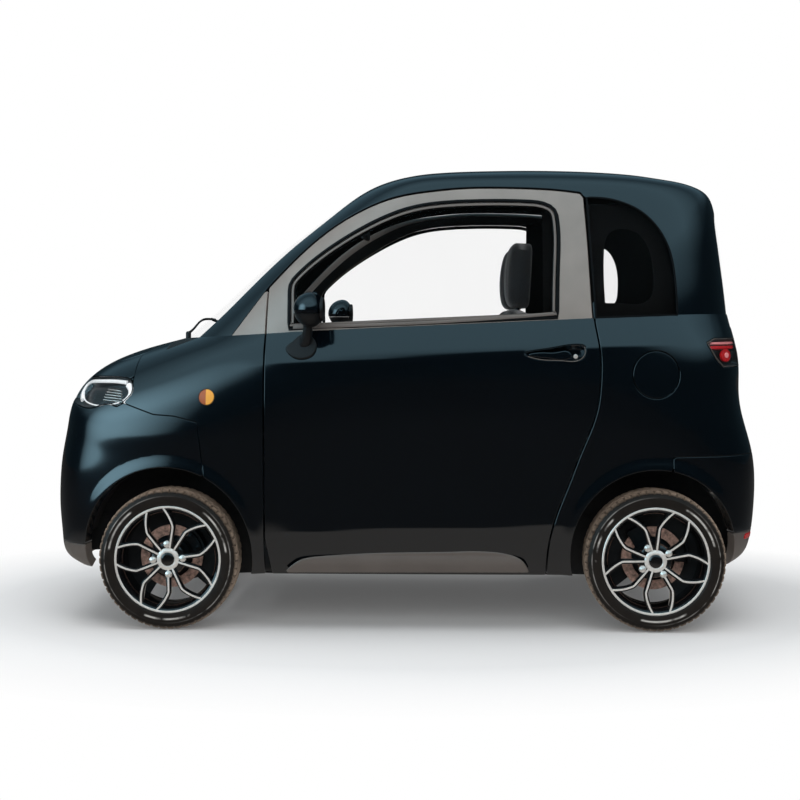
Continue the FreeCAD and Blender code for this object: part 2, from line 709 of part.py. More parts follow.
wheel_out_y = (track + tyre_w) / 2
wheel_in_y = (track - tyre_w) / 2
bead_r = rim_barrel_r + seam


def tyre():
    """Half section turned about the axle: bead, bulging wall, shoulder and a slightly crowned tread."""
    mid = track / 2
    half = tyre_w / 2
    right = [(bead_r, half - 15), (rim_lip_r + 1, half - 13), (rim_lip_r + 18, half - 1),
             (tyre_r - 22, half - 2), (tyre_r - 7, half - 9), (tyre_r - 1.5, half - 24)]
    wall = Part.BSplineCurve()
    wall.interpolate([V(0, mid + y, r) for r, y in right])
    other = Part.BSplineCurve()
    other.interpolate([V(0, mid - y, r) for r, y in right])
    tread = Part.Arc(V(0, mid + half - 24, tyre_r - 1.5), V(0, mid, tyre_r), V(0, mid - half + 24, tyre_r - 1.5))
    inside = Part.LineSegment(V(0, mid - half + 15, bead_r), V(0, mid + half - 15, bead_r))
    wire = Part.Wire([wall.toShape(), tread.toShape(), other.toShape(), inside.toShape()])
    return Part.Face(wire).revolve(V(0, 0, 0), V(0, 1, 0), 360)


spoke_face_y = wheel_out_y - 14
spoke_back_y = wheel_out_y - 40
hub_in_y = disc_y = kingpin_y + 28


def spoke(angle):
    """One Y spoke: two thin bars side by side from the hub to the knee, then fanning out to the lip."""
    out = None
    inner_r = hub_r - 8
    knee_r = 0.64 * rim_lip_r
    lip_r = rim_barrel_r - rim_wall
    for side in (-1, 1):
        points = []
        for r, turn in ((inner_r, 12), (knee_r, 11), (lip_r, 26)):
            a = math.radians(angle + side * turn)
            points.append((r * math.cos(a), r * math.sin(a)))
        for (x0, z0), (x1, z1) in zip(points, points[1:]):
            length = math.hypot(x1 - x0, z1 - z0)
            bar = Part.makeBox(length + 6, spoke_face_y - spoke_back_y, 13, V(-3, 0, -6.5))
            bar.rotate(V(0, 0, 0), V(0, 1, 0), -math.degrees(math.atan2(z1 - z0, x1 - x0)))
            bar.translate(V(x0, spoke_back_y, z0))
            out = bar if out is None else out.fuse(bar)
    return out


def rim(phase):
    """Wheel with its brake disc, standing at the origin with its axle along Y."""
    barrel = ring(rim_barrel_r, rim_barrel_r - rim_wall, wheel_in_y + 6, wheel_out_y - 6)
    outer_lip = ring(rim_lip_r, rim_barrel_r - rim_wall, wheel_out_y - 12, wheel_out_y - 5)
    inner_lip = ring(rim_lip_r, rim_barrel_r - rim_wall, wheel_in_y + 5, wheel_in_y + 12)
    body = barrel.fuse([outer_lip, inner_lip])
    hub = Part.makeCylinder(hub_r, spoke_face_y - 4 - hub_in_y, V(0, hub_in_y, 0), V(0, 1, 0))
    disc = Part.makeCylinder(disc_r, disc_t, V(0, disc_y, 0), V(0, 1, 0))
    cap = Part.makeCylinder(cap_r, 10, V(0, spoke_face_y - 8, 0), V(0, 1, 0))
    body = body.fuse([hub, disc, cap] + [spoke(phase + 360 / spoke_count * i) for i in range(spoke_count)])
    for i in range(nut_count):
        a = math.radians(phase + 45 + 360 / nut_count * i)
        at = V(nut_circle_r * 0.85 * math.cos(a), spoke_face_y - 6, nut_circle_r * 0.85 * math.sin(a))
        body = body.fuse(Part.makeCylinder(nut_r, 6, at, V(0, 1, 0)))
    bore = Part.makeCylinder(spindle_r + fit, spoke_face_y - 20 - hub_in_y, V(0, hub_in_y, 0), V(0, 1, 0))
    return body.cut(bore)


def caliper(turn):
    """Floating caliper over the disc, at an angle round the axle from the rear of the car upwards."""
    block = box(-disc_r - 14, -disc_r + 42, disc_y - 20, disc_y + disc_t + 16, -34, 34)
    slot = box(-disc_r - 5, 0, disc_y - 5, disc_y + disc_t + 5, -40, 40)
    bridge_clear = Part.makeCylinder(disc_r + 5, disc_t + 10, V(0, disc_y - 5, 0), V(0, 1, 0))
    block = block.cut(slot).cut(bridge_clear)
    arm = box(-disc_r + 20, 0, disc_y - 20, disc_y - 8, -12, 12)
    block = block.fuse(arm)
    block.rotate(V(0, 0, 0), V(0, 1, 0), turn)
    return block


def spindle():
    return Part.makeCylinder(spindle_r, spoke_face_y - 24 - kingpin_y, V(0, kingpin_y, 0), V(0, 1, 0))


def knuckle():
    """Steered upright at the origin of the axle: post with a bore at each end, spindle, caliper and arm."""
    post = Part.makeCylinder(post_r, 2 * ball_spread - 40, V(0, kingpin_y, -ball_spread + 20))
    for z0 in (-ball_spread + 20, ball_spread - 45):
        post = post.cut(Part.makeCylinder(kingpin_r + fit, 25, V(0, kingpin_y, z0)))
    arm = rod(9, (0, kingpin_y, -40), (-105, kingpin_y - 30, -44))
    return post.fuse([spindle(), caliper(30), arm])


def ball_joint(z, up):
    """Boss and pin of one wishbone's outer end."""
    boss_z = z - 22 if up else z + 0.3
    pin_z = boss_z + 10 if up else boss_z - 25
    boss = Part.makeCylinder(post_r + 4, 21.7, V(0, kingpin_y, boss_z))
    pin = Part.makeCylinder(kingpin_r, 35, V(0, kingpin_y, pin_z))
    return boss.fuse(pin)


def wishbone(z, up):
    """A-shaped arm from two bushes on the rail side to the ball joint, with its centre cut out."""
    mid_z = z - 11 if up else z + 11
    inner_y = rail_y + rail_w / 2 - 10
    points = [(-110, inner_y), (110, inner_y), (20, kingpin_y - 6), (-20, kingpin_y - 6)]
    plate = plan_prism(points, mid_z - 8, mid_z + 8)
    hole = plan_prism([(-70, inner_y + 14), (70, inner_y + 14), (46, inner_y + 90), (-46, inner_y + 90)],
                      mid_z - 8, mid_z + 8)
    if not up:
        plate = plate.cut(hole)
    return plate.fuse(ball_joint(z, up))


def front_suspension():
    low = -ball_spread + 20
    high = ball_spread - 20
    left = wishbone(low, True).fuse(wishbone(high, False))
    left.translate(V(front_axle_x, 0, tyre_r))
    tower_y = rail_y + rail_w / 2 + 38
    foot = (front_axle_x, tower_y, tyre_r + low - 12)
    top = (front_axle_x, tower_y, 640)
    return left, foot, top


def rail_side():
    """Side outline of a chassis rail: low between the axles, kicked up over them."""
    low0 = rail_z
    low1 = rail_z + rail_h
    up0 = rail_kick_z
    up1 = rail_kick_z + rail_h
    front = nose_x - 100
    rear = -tail_x + 100
    return [(rear, up0), (-680, up0), (-560, low0), (490, low0), (600, up0), (front, up0),
            (front, up1), (580, up1), (470, low1), (-540, low1), (-660, up1), (rear, up1)]


def chassis():
    rails = side_prism(rail_side(), rail_y - rail_w / 2, rail_y + rail_w / 2)
    rails = rails.fuse(mirrored(rails))
    members = []
    for x, z in ((nose_x - 150, rail_kick_z), (640, rail_kick_z), (440, rail_z), (-520, rail_z),
                 (-700, rail_kick_z), (-tail_x + 130, rail_kick_z)):
        members.append(box(x - 25, x + 25, -rail_y, rail_y, z + 5, z + rail_h - 5))
    trays = [box(-530, -470, -rail_y, rail_y, rail_z + 5, rail_z + rail_h - 10)]
    subframe = box(front_axle_x - 120, front_axle_x + 120, -rail_y + 20, rail_y - 20, 120, 150)
    drop = box(front_axle_x - 20, front_axle_x + 20, rail_y - 20, rail_y + 10, 120, rail_kick_z + 5)
    beams = []
    for x, beam_half in ((nose_x - wall_t - 40, rail_y + 60), (-tail_x + wall_t + 50, rail_y + 30)):
        beams.append(box(x - 22, x + 22, -beam_half, beam_half, rail_kick_z, rail_kick_z + rail_h))
    tow_x0 = nose_x - 150
    boss = Part.makeCylinder(tow_boss_r, tow_face_x - tow_x0, V(tow_x0, tow_y, tow_z), V(1, 0, 0))
    hole = Part.makeCylinder(tow_hole_r, tow_depth, V(tow_face_x - tow_depth, tow_y, tow_z), V(1, 0, 0))
    out = rails.fuse(members + [subframe, drop, mirrored(drop)] + trays + beams + [boss])
    return out.cut(hole)


def battery_pack():
    """One closed block with rounded edges between the rails, under the floor."""
    y = rail_y - rail_w / 2 - seam
    return rounded(box(-465, 410, -y, y, rail_z - 20, rail_z + rail_h - 6), 8)


def floor_pan():
    """Bent sheet from the toe board under the seats to the luggage floor, with sills and arch cuts."""
    t = floor_t
    z0 = rail_z + rail_h + seam
    step_x = -500
    deck_z = 560
    kick_z = rail_kick_z + rail_h + 3
    profile = [(467, z0), (576, kick_z), (600, kick_z + 2), (600, 960), (600 - t, 960), (600 - t, kick_z + 25),
               (568, kick_z + 20), (458, z0 + t),
               (step_x, z0 + t), (step_x, deck_z + t), (-tail_x + 130, deck_z + t), (-tail_x + 130, deck_z),
               (step_x - t, deck_z), (step_x - t, z0)]
    side_y = half_width - wall_t - 45
    half = side_prism(profile, 0, side_y)
    plan = plan_prism([(700, -1), (700, side_y - 89), (600, side_y), (-900, side_y), (-tail_x + 130, side_y - 149),
                       (-tail_x + 130, -1)], 0, beyond)
    half = half.common(plan).cut(lower_skin(0, wall_t + seam))
    sill = box(step_x - 40, 460, half_width - wall_t - 125, half_width - wall_t - 95, z0 - 30, z0 + 50)
    half = half.common(box(-beyond, beyond, 0, half_width - wall_t - 95, 0, 540)).fuse(
        half.common(box(-beyond, beyond, 0, half_width, 535, beyond))).fuse(sill)
    for x, z, r in ((front_arch_x, front_arch_z, front_arch_r), (rear_arch_x, rear_arch_z, rear_arch_r)):
        clear = Part.makeCylinder(r + liner_t + seam, side_out, V(x, liner_y - 6, z), V(0, 1, 0))
        half = half.cut(clear)
    return half.fuse(mirrored(half))


def liners():
    out = []
    for x, z, r in ((front_arch_x, front_arch_z, front_arch_r), (rear_arch_x, rear_arch_z, rear_arch_r)):
        skin = ring(r + liner_t, r, liner_y, half_width - wall_t - 42, x, z)
        wall = Part.makeCylinder(r + liner_t, liner_t, V(x, liner_y - liner_t, z), V(0, 1, 0))
        wall = wall.cut(Part.makeCylinder(150, 60, V(x, liner_y - 30, z - 10), V(0, 1, 0)))
        skin = skin.fuse(wall).cut(box(-beyond, beyond, 0, side_out, -beyond, z + 60))
        skin = skin.cut(lower_skin(-70, wall_t + seam))
        out += [skin, mirrored(skin)]
    return Part.makeCompound(out)


def rear_axle():
    tube = Part.makeCylinder(30, 2 * kingpin_y - 40, V(0, -kingpin_y + 20, 0), V(0, 1, 0))
    motor = Part.makeCylinder(95, 230, V(0, -150, 0), V(0, 1, 0))
    gearbox = box(-85, 85, 60, 170, -80, 80)
    end = Part.makeCylinder(40, 30, V(0, kingpin_y - 25, 0), V(0, 1, 0)).fuse([spindle(), caliper(-60 + 180)])
    body = tube.fuse([motor, gearbox, end, mirrored(end)])
    body.translate(V(rear_axle_x, 0, tyre_r))
    springs = []
    for side in (-1, 1):
        y = side * rail_y
        seat = box(rear_axle_x - 40, rear_axle_x + 40, y - 25, y + 25, tyre_r + 20, rail_kick_z + 1)
        springs.append(seat)
    return body.fuse(springs)


def rounded(shape, radius):
    """The same block with its long edges rounded over."""
    edges = [e for e in shape.Edges if e.Length > 2.5 * radius]
    return shape.makeFillet(radius, edges)


def seat(side):
    """Cushion, leaning backrest and headrest on a plinth, with rounded edges."""
    y0 = side * seat_y - seat_w / 2
    cushion = side_prism([(140, 330), (140, 452), (-300, 420), (-330, 330)], y0, y0 + seat_w)
    back = side_prism([(-310, 390), (-205, 410), (-335, 1080), (-440, 1080)], y0 + 5, y0 + seat_w - 5)
    head = side_prism([(-350, 1088), (-342, 1320), (-440, 1325), (-452, 1088)], y0 + 95, y0 + seat_w - 95)
    cushion = rounded(cushion, 32)
    back = rounded(back, 32)
    head = rounded(head, 28)
    stalk = box(-420, -390, y0 + 150, y0 + seat_w - 150, 1060, 1100)
    plinth = box(-290, 100, y0 + 40, y0 + seat_w - 40, rail_z + rail_h + floor_t + 2 * seam, 335)
    return cushion.fuse([back, head, stalk, plinth])


def dashboard():
    z0 = 640
    half = side_prism([(600 - floor_t - seam, z0 + 40), (600 - floor_t - seam, belt_z - 40), (520, belt_z - 22),
                       (390, belt_z - 70), (345, belt_z - 130), (370, z0 + 60), (430, z0)],
                      0, 560)
    panel = half.fuse(mirrored(half))
    a = math.radians(column_tilt)
    top = V(column_x, seat_y, column_z)
    along = V(math.cos(a), 0, -math.sin(a))
    end = top + along * 160
    column = Part.makeCylinder(24, 200, top + along * 30, along)
    stub = Part.makeCylinder(9, 60, top - along * 12, along)
    panel = panel.fuse([column, stub])
    hood = side_prism([(452, belt_z - 70), (360, belt_z - 92), (352, belt_z - 40), (395, belt_z - 8), (470, belt_z - 30)],
                      seat_y - 130, seat_y + 130, [0, 1, 4])
    screen = box(372, 392, -120, 90, belt_z - 120, belt_z + 10)
    panel = panel.fuse([hood, screen])
    for y in (seat_y - 95, seat_y + 15):
        arm = rod(8, (545, y + 30, 720), (500, y + 30, 400))
        pad = box(484, 500, y, y + 60, 360, 420)
        panel = panel.fuse([arm, pad])
    return panel


def steering_wheel():
    a = math.radians(column_tilt)
    along = V(math.cos(a), 0, -math.sin(a))
    centre = V(column_x, seat_y, column_z)
    rim_ring = Part.makeTorus(wheel_rim_r, 14, centre, along)
    hub = Part.makeCylinder(38, 26, centre - along * 14, along)
    hub = hub.cut(Part.makeCylinder(9 + fit, 12 + 12 + 2, centre - along * (12 + fit), along))
    spokes = []
    for turn in (0, 180, 90):
        bar = Part.makeBox(wheel_rim_r - 30, 22, 10, V(30, -11, -5))
        bar.rotate(V(0, 0, 0), V(0, 0, 1), turn)
        spokes.append(bar)
    star = spokes[0].fuse(spokes[1:])
    place = FreeCAD.Placement(centre, FreeCAD.Rotation(V(0, 1, 0), V(0, 0, 1), V(math.cos(a), 0, -math.sin(a)), "ZXY"))
    star.Placement = place
    return rim_ring.fuse([hub, star])


def door_mirror():
    """Egg-shaped housing on a short foot at the window's front corner."""
    shape = Part.makeSphere(62)
    m = FreeCAD.Matrix()
    m.scale(0.92, 1.35, 0.98)
    shape = shape.transformGeometry(m)
    shape.translate(V(300, half_width + 36, belt_z + 57))
    foot = rod(17, (335, half_width - 62, belt_z - 45), (312, half_width + 10, belt_z + 20))
    pad = lower_skin(-16, 0).common(side_prism(
        [(400, belt_z - 102), (400, belt_z - 60), (340, belt_z - 30), (310, belt_z - 60), (300, belt_z - 100)],
        0, side_out))
    return shape.fuse([foot, pad]).cut(lower_skin(0, wall_t)).cut(upper_skin(0, wall_t))


def sill_garnish():
    """Low swollen strip along the foot of the door, from a hair inside its surface."""
    outline = [
        (407, sill_z + 1), (386, sill_z + 25), (348, sill_z + 52), (285, sill_z + 65), (83, sill_z + 78),
        (-153, sill_z + 83), (-308, sill_z + 83), (-370, sill_z + 72), (-409, sill_z + 52), (-433, sill_z + 5)]
    return lower_skin(-garnish_t, 1).common(side_prism(outline, 0, side_out, [0, 9]))


def wiper():
    """Arm and blade that lie across the foot of the windscreen, from a pivot on the cowl."""
    pane = upper_skin(0, glass_set_in)
    blade = []
    for i in range(6):
        y = 74 - 80 * i
        z = cowl_z + 62 - 3 * i
        at = reach(pane, (0, abs(y), z), (beyond, abs(y), z))
        blade.append(V(at.x + 9, y, at.z + 11))
    curve = Part.BSplineCurve()
    curve.interpolate(blade)
    end = Part.Circle(blade[0], blade[1] - blade[0], 5)
    strip = Part.Wire(curve.toShape()).makePipeShell([Part.Wire(end.toShape())], True, False)
    middle = blade[2]
    foot = ((cowl_x + hood_rear_x) / 2 - 1, 110, cowl_z + 16)
    arm = rod(5, foot, (middle.x + 5, middle.y, middle.z + 7))
    post = rod(8, (foot[0], foot[1], cowl_z - 40), (foot[0], foot[1], foot[2] + 6))
    return arm.fuse([strip, post])


def door_handle():
    grip_zone = side_prism([(-405, belt_z - 88), (-560, belt_z - 76), (-612, belt_z - 64), (-600, belt_z - 104),
                            (-450, belt_z - 112)], 0, side_out)
    return lower_skin(-12, 0).common(grip_zone)


def main_details():
    for name, x, side, phase in (("front_left", front_axle_x, 1, 68.4), ("front_right", front_axle_x, -1, 68.4),
                                 ("rear_left", rear_axle_x, 1, 24), ("rear_right", rear_axle_x, -1, 24)):
        for kind, shape in (("tyre_", tyre()), ("rim_", rim(180 - phase))):
            shape = shape if side > 0 else mirrored(shape)
            shape.translate(V(x, 0, tyre_r))
            save(kind + name, shape)
    for name, side in (("left", 1), ("right", -1)):
        shape = knuckle() if side > 0 else mirrored(knuckle())
        shape.translate(V(front_axle_x, 0, tyre_r))
        save("knuckle_" + name, shape)
    left, foot, top = front_suspension()
    shock = rod(24, foot, top)
    left = left.fuse(shock)
    bridge = box(front_axle_x - 30, front_axle_x + 30, -390, 390, 620, 650)
    legs = box(front_axle_x - 30, front_axle_x + 30, rail_y - 20, rail_y + 20, rail_kick_z + rail_h - 1, 640)
    save("front_suspension", left.fuse([mirrored(left)]))
    frame = chassis().fuse([bridge, legs, mirrored(legs)]).cut(left).cut(mirrored(left))
    frame_parts = []
    for x0, x1 in ((-beyond, -542), (-542 + seam, 472 - seam), (472, beyond)):
        frame_parts += frame.common(box(x0, x1, -beyond, beyond, 0, beyond)).Solids
    save("chassis_frame", Part.makeCompound(frame_parts))
    save("battery_pack", battery_pack())
    save("rear_axle", rear_axle().cut(chassis()))
    save("floor_pan", floor_pan())
    save("wheel_arch_liners", liners())
    save("seats", Part.makeCompound([seat(1), seat(-1)]))
    save("dashboard", dashboard())
    save("steering_wheel", steering_wheel())
    for name, shape in (("mirror_", door_mirror()), ("door_handle_", door_handle())):
        save(name + "left", shape)
        save(name + "right", mirrored(shape))
    marker = lower_skin(-5, 0).common(
        Part.makeCylinder(marker_r, side_out, V(marker_x, 0, marker_z), V(0, 1, 0)))
    save("side_markers", Part.makeCompound([marker, mirrored(marker)]))


main_panels()
main_details()
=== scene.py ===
import math
import bpy
import numpy as np
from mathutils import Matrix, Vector


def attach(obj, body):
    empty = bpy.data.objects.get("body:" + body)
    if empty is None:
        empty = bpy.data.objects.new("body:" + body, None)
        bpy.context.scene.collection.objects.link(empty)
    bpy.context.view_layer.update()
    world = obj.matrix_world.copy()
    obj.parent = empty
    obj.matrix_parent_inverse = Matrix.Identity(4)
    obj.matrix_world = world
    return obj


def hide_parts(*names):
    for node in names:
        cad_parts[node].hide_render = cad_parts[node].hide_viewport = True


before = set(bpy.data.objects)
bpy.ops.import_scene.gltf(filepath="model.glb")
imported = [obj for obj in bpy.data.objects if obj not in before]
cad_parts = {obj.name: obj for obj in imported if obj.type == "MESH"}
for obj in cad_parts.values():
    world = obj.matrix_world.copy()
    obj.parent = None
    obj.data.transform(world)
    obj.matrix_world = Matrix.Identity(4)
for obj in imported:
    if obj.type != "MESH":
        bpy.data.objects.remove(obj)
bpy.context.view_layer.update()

print("frame loaded")

# overall sizes in metres
car = {
    "noseX": 1.253, "tailX": 1.253, "halfWidth": 0.736, "sillZ": 0.190, "beltZ": 1.036, "beltRise": 0.043,
    "roofZ": 1.597, "widestX": -0.200, "cowlX": 0.810, "cowlZ": 0.995, "gap": 0.005,
    "frontAxleX": 0.802, "rearAxleX": -0.860, "tyreR": 0.241, "tyreW": 0.158, "track": 1.232,
}
noseX, tailX, halfWidth = car["noseX"], car["tailX"], car["halfWidth"]
sillZ, beltZ, roofZ = car["sillZ"], car["beltZ"], car["roofZ"]
cowlX, cowlZ = car["cowlX"], car["cowlZ"]


# natural cubic through the points: second derivatives solve the usual tridiagonal system, knots are chord lengths
def splineThrough(points, knots=None):
    pts = np.array(points, float)
    if knots is None:
        knots = np.concatenate([[0.0], np.cumsum(np.linalg.norm(np.diff(pts, axis=0), axis=1))])
    knots = np.array(knots, float)
    h = np.diff(knots)
    count = len(pts)
    system = np.eye(count)
    right = np.zeros_like(pts)
    i = np.arange(1, count - 1)
    system[i, i - 1] = h[:-1]
    system[i, i] = 2 * (h[:-1] + h[1:])
    system[i, i + 1] = h[1:]
    slope = np.diff(pts, axis=0) / h[:, None]
    right[1:-1] = 6 * np.diff(slope, axis=0)
    bends = np.linalg.solve(system, right)

    def at(share):  # point at a share of the whole length
        s = np.clip(share, 0, 1) * knots[-1]
        k = np.clip(np.searchsorted(knots, s, side="right") - 1, 0, count - 2)
        a = (knots[k + 1] - s)[..., None]
        b = (s - knots[k])[..., None]
        w = h[k][..., None]
        curved = (bends[k] * a ** 3 + bends[k + 1] * b ** 3) / (6 * w)
        return curved + (pts[k] / w - bends[k] * w / 6) * a + (pts[k + 1] / w - bends[k + 1] * w / 6) * b

    return at


noseLine = splineThrough([
    (noseX - 0.066, sillZ), (noseX - 0.022, sillZ + 0.032), (noseX - 0.006, sillZ + 0.110), (noseX, sillZ + 0.210),
    (noseX - 0.001, sillZ + 0.310), (noseX - 0.010, sillZ + 0.410), (noseX - 0.028, sillZ + 0.510),
    (cowlX + 0.397, cowlZ - 0.210), (cowlX + 0.354, cowlZ - 0.143), (cowlX + 0.288, cowlZ - 0.092),
    (cowlX + 0.200, cowlZ - 0.053), (cowlX + 0.100, cowlZ - 0.023), (cowlX, cowlZ)])
sideLine = splineThrough([
    (halfWidth - 0.084, sillZ), (halfWidth - 0.046, sillZ + 0.072), (halfWidth - 0.027, sillZ + 0.145),
    (halfWidth - 0.014, sillZ + 0.290), (halfWidth - 0.005, sillZ + 0.460), (halfWidth, beltZ - 0.236),
    (halfWidth - 0.002, beltZ - 0.136), (halfWidth - 0.014, beltZ - 0.056), (halfWidth - 0.036, beltZ)])
tailLine = splineThrough([
    (-tailX + 0.085, sillZ + 0.015), (-tailX + 0.038, sillZ + 0.045), (-tailX + 0.014, sillZ + 0.110),
    (-tailX + 0.003, sillZ + 0.210), (-tailX, sillZ + 0.310), (-tailX + 0.009, sillZ + 0.400),
    (-tailX + 0.030, sillZ + 0.480), (-tailX + 0.048, beltZ - 0.296), (-tailX + 0.054, beltZ - 0.226),
    (-tailX + 0.050, beltZ - 0.156), (-tailX + 0.053, beltZ - 0.086), (-tailX + 0.067, beltZ - 0.021),
    (-tailX + 0.081, beltZ + 0.042)])
screenLine = splineThrough([
    (cowlX, cowlZ), (cowlX - 0.110, cowlZ + 0.093), (cowlX - 0.234, cowlZ + 0.205), (cowlX - 0.360, roofZ - 0.285),
    (cowlX - 0.488, roofZ - 0.185), (cowlX - 0.610, roofZ - 0.100), (cowlX - 0.714, roofZ - 0.045),
    (cowlX - 0.800, roofZ - 0.017), (cowlX - 0.860, roofZ - 0.006), (cowlX - 0.905, roofZ - 0.001),
    (cowlX - 0.940, roofZ + 0.002)], range(11))
cantLine = splineThrough([
    (halfWidth - 0.036, beltZ), (halfWidth - 0.047, beltZ + 0.074), (halfWidth - 0.066, beltZ + 0.179),
    (halfWidth - 0.086, beltZ + 0.279), (halfWidth - 0.107, roofZ - 0.192), (halfWidth - 0.129, roofZ - 0.107),
    (halfWidth - 0.156, roofZ - 0.060), (halfWidth - 0.216, roofZ - 0.030), (halfWidth - 0.336, roofZ - 0.012),
    (halfWidth - 0.526, roofZ - 0.003), (0, roofZ)], range(11))
backLine = splineThrough([
    (-tailX + 0.081, beltZ + 0.042), (-tailX + 0.089, beltZ + 0.134), (-tailX + 0.099, beltZ + 0.234),
    (-tailX + 0.109, roofZ - 0.233), (-tailX + 0.121, roofZ - 0.153), (-tailX + 0.139, roofZ - 0.095),
    (-tailX + 0.179, roofZ - 0.063), (-tailX + 0.244, roofZ - 0.041), (-tailX + 0.334, roofZ - 0.023),
    (-tailX + 0.424, roofZ - 0.009), (-tailX + 0.504, roofZ - 0.001)], range(11))
roofPoints = np.array([
    (0.322, -0.185), (0.200, -0.100), (0.096, -0.045), (0.010, -0.017), (-0.050, -0.005), (-0.130, 0.003),
    (-0.300, 0.009), (-0.450, 0.010), (-0.600, 0.007), (-0.749, -0.001), (-0.829, -0.009), (-0.919, -0.023),
    (-1.009, -0.041), (-1.090, -0.070)])
roofLine = splineThrough(roofPoints, roofPoints[0, 0] - roofPoints[:, 0])


# centre line of the roof lowered by the cube of the distance from the middle
def roofHeight(x, y):
    share = (roofPoints[0, 0] - x) / (roofPoints[0, 0] - roofPoints[-1, 0])
    return roofZ + roofLine(share)[..., 1] - 0.030 * (np.abs(y) / (halfWidth - 0.216)) ** 3


def planPoint(angle, power):  # superellipse |cos|^(2/p), |sin|^(2/p)
    c = np.cos(angle)
    s = np.maximum(np.sin(angle), 0.0)
    return np.copysign(np.abs(c) ** (2 / power), c), s ** (2 / power)


ringSteps = np.linspace(0, math.pi, 801)
ringC, ringS = planPoint(ringSteps, 4.0)
ringWay = np.concatenate([[0.0], np.cumsum(np.hypot(2.0 * np.diff(ringC), np.diff(ringS)))])
ringWay /= ringWay[-1]


# one ring: x between the ends by the superellipse, y its other half, z from the ends' to the side's by sin^3
def ringPoint(front, side, rear, power, share, sideHeight):
    flip = np.where((share < 0) | (share > 1), -1.0, 1.0)
    share = np.where(share < 0, -share, np.where(share > 1, 2 - share, share))
    cx, sy = planPoint(np.interp(share, ringWay, ringSteps), power)
    end = np.where((cx >= 0)[..., None], front, rear)
    x = car["widestX"] + (end[..., 0] - car["widestX"]) * np.abs(cx)
    weight = sy ** 3
    z = end[..., 1] * (1 - weight) + sideHeight(x, side[..., 1]) * weight
    return np.stack([x, flip * side[..., 0] * sy, z], -1)


def smoothStep(w):  # 3 w^2 - 2 w^3 between 0 and 1
    w = np.clip(w, 0, 1)
    return w * w * (3 - 2 * w)


def beltAt(x):  # height of the belt line, rising towards the tail
    return beltZ - car["beltRise"] * x


def plainLower(t, s):  # lower body, t up from the sill to the belt, s from the nose to the tail
    power = 5.2 - 1.2 * smoothStep((t - 0.55) / 0.45)
    lift = lambda x, z: sillZ + (z - sillZ) * (beltAt(x) - sillZ) / (beltZ - sillZ)
    return ringPoint(noseLine(t), sideLine(t), tailLine(t), power, s, lift)


def upperSkin(t, s):  # upper body, t up from the belt to the middle of the roof
    def lift(x, z):  # heights follow the belt's slope, less and less towards the roof
        w = np.clip((roofZ - 0.043 - z) / (roofZ - 0.043 - beltZ), 0, 1)
        return z + w * (beltAt(x) - beltZ)

    p = ringPoint(screenLine(t), cantLine(t), backLine(t), 4.0, s, lift)
    w = smoothStep((t - 0.5) / 0.25)
    p[..., 2] = p[..., 2] * (1 - w) + roofHeight(p[..., 0], p[..., 1]) * w
    return p


# normal of a skin: cross product of its two central differences
def normalOf(skin, t, s):
    step = 0.003
    along = skin(np.minimum(t + step, 1.0), s) - skin(np.maximum(t - step, 0.0), s)
    around = skin(t, s + step) - skin(t, s - step)
    n = np.cross(around, along)
    return n / np.maximum(np.linalg.norm(n, axis=-1, keepdims=True), 1e-12)


sculpt = {
    "shoulderZ": 0.930, "shoulderTilt": -0.050, "shoulderHigh": 0.004, "shoulderWide": 0.055,
    "underZ": 0.352, "underTilt": -0.030, "underHigh": 0.006, "underWide": 0.055,
    "flareHigh": 0.007, "flareWide": 0.045,
    "frontArch": (0.810, 0.258, 0.298), "rearArch": (-0.857, 0.266, 0.286),
}


# body side with its two creases, each a sharp ridge exp(-|dz| / width), and a lip that swells round each arch
def lowerSkin(t, s):
    p = plainLower(t, s)
    n = normalOf(plainLower, t, s)
    x, z = p[..., 0], p[..., 2]
    side = smoothStep((np.abs(n[..., 1]) - 0.75) / 0.2)
    up = np.abs(z - sculpt["shoulderZ"] - sculpt["shoulderTilt"] * x)
    low = np.abs(z - sculpt["underZ"] - sculpt["underTilt"] * x)
    between = smoothStep((0.60 - x) / 0.25) * smoothStep((x + 1.0) / 0.3)
    rise = sculpt["shoulderHigh"] * np.exp(-up / sculpt["shoulderWide"]) * between
    doorOnly = smoothStep((0.46 - x) / 0.15) * smoothStep((x + 0.66) / 0.2)
    rise = rise + sculpt["underHigh"] * np.exp(-low / sculpt["underWide"]) * doorOnly
    for cx, cz, r in (sculpt["frontArch"], sculpt["rearArch"]):
        far = np.hypot(x - cx, z - cz) - r
        rise = rise + sculpt["flareHigh"] * smoothStep(1 - far / sculpt["flareWide"])
    return p + n * (rise * side)[..., None]


# closed outline: a natural cubic through each run between corner points, sampled evenly
def smoothOutline(points, corners=None, samples=10):
    pts = np.array(points, float)
    count = len(pts)
    corners = list(range(count)) if corners is None else sorted(corners)
    if not corners:
        loop = np.concatenate([pts[-3:], pts, pts[:3]])
        line = splineThrough(loop)
        knots = np.concatenate([[0.0], np.cumsum(np.linalg.norm(np.diff(loop, axis=0), axis=1))])
        lo, hi = knots[3] / knots[-1], knots[3 + count] / knots[-1]
        return line(np.linspace(lo, hi, count * samples, endpoint=False))
    out = []
    for a, b in zip(corners, corners[1:] + [corners[0] + count]):
        run = pts[np.arange(a, b + 1) % count]
        steps = 8 if len(run) == 2 else samples * (len(run) - 1)
        out.append(splineThrough(run)(np.linspace(0, 1, steps, endpoint=False)))
    return np.concatenate(out)


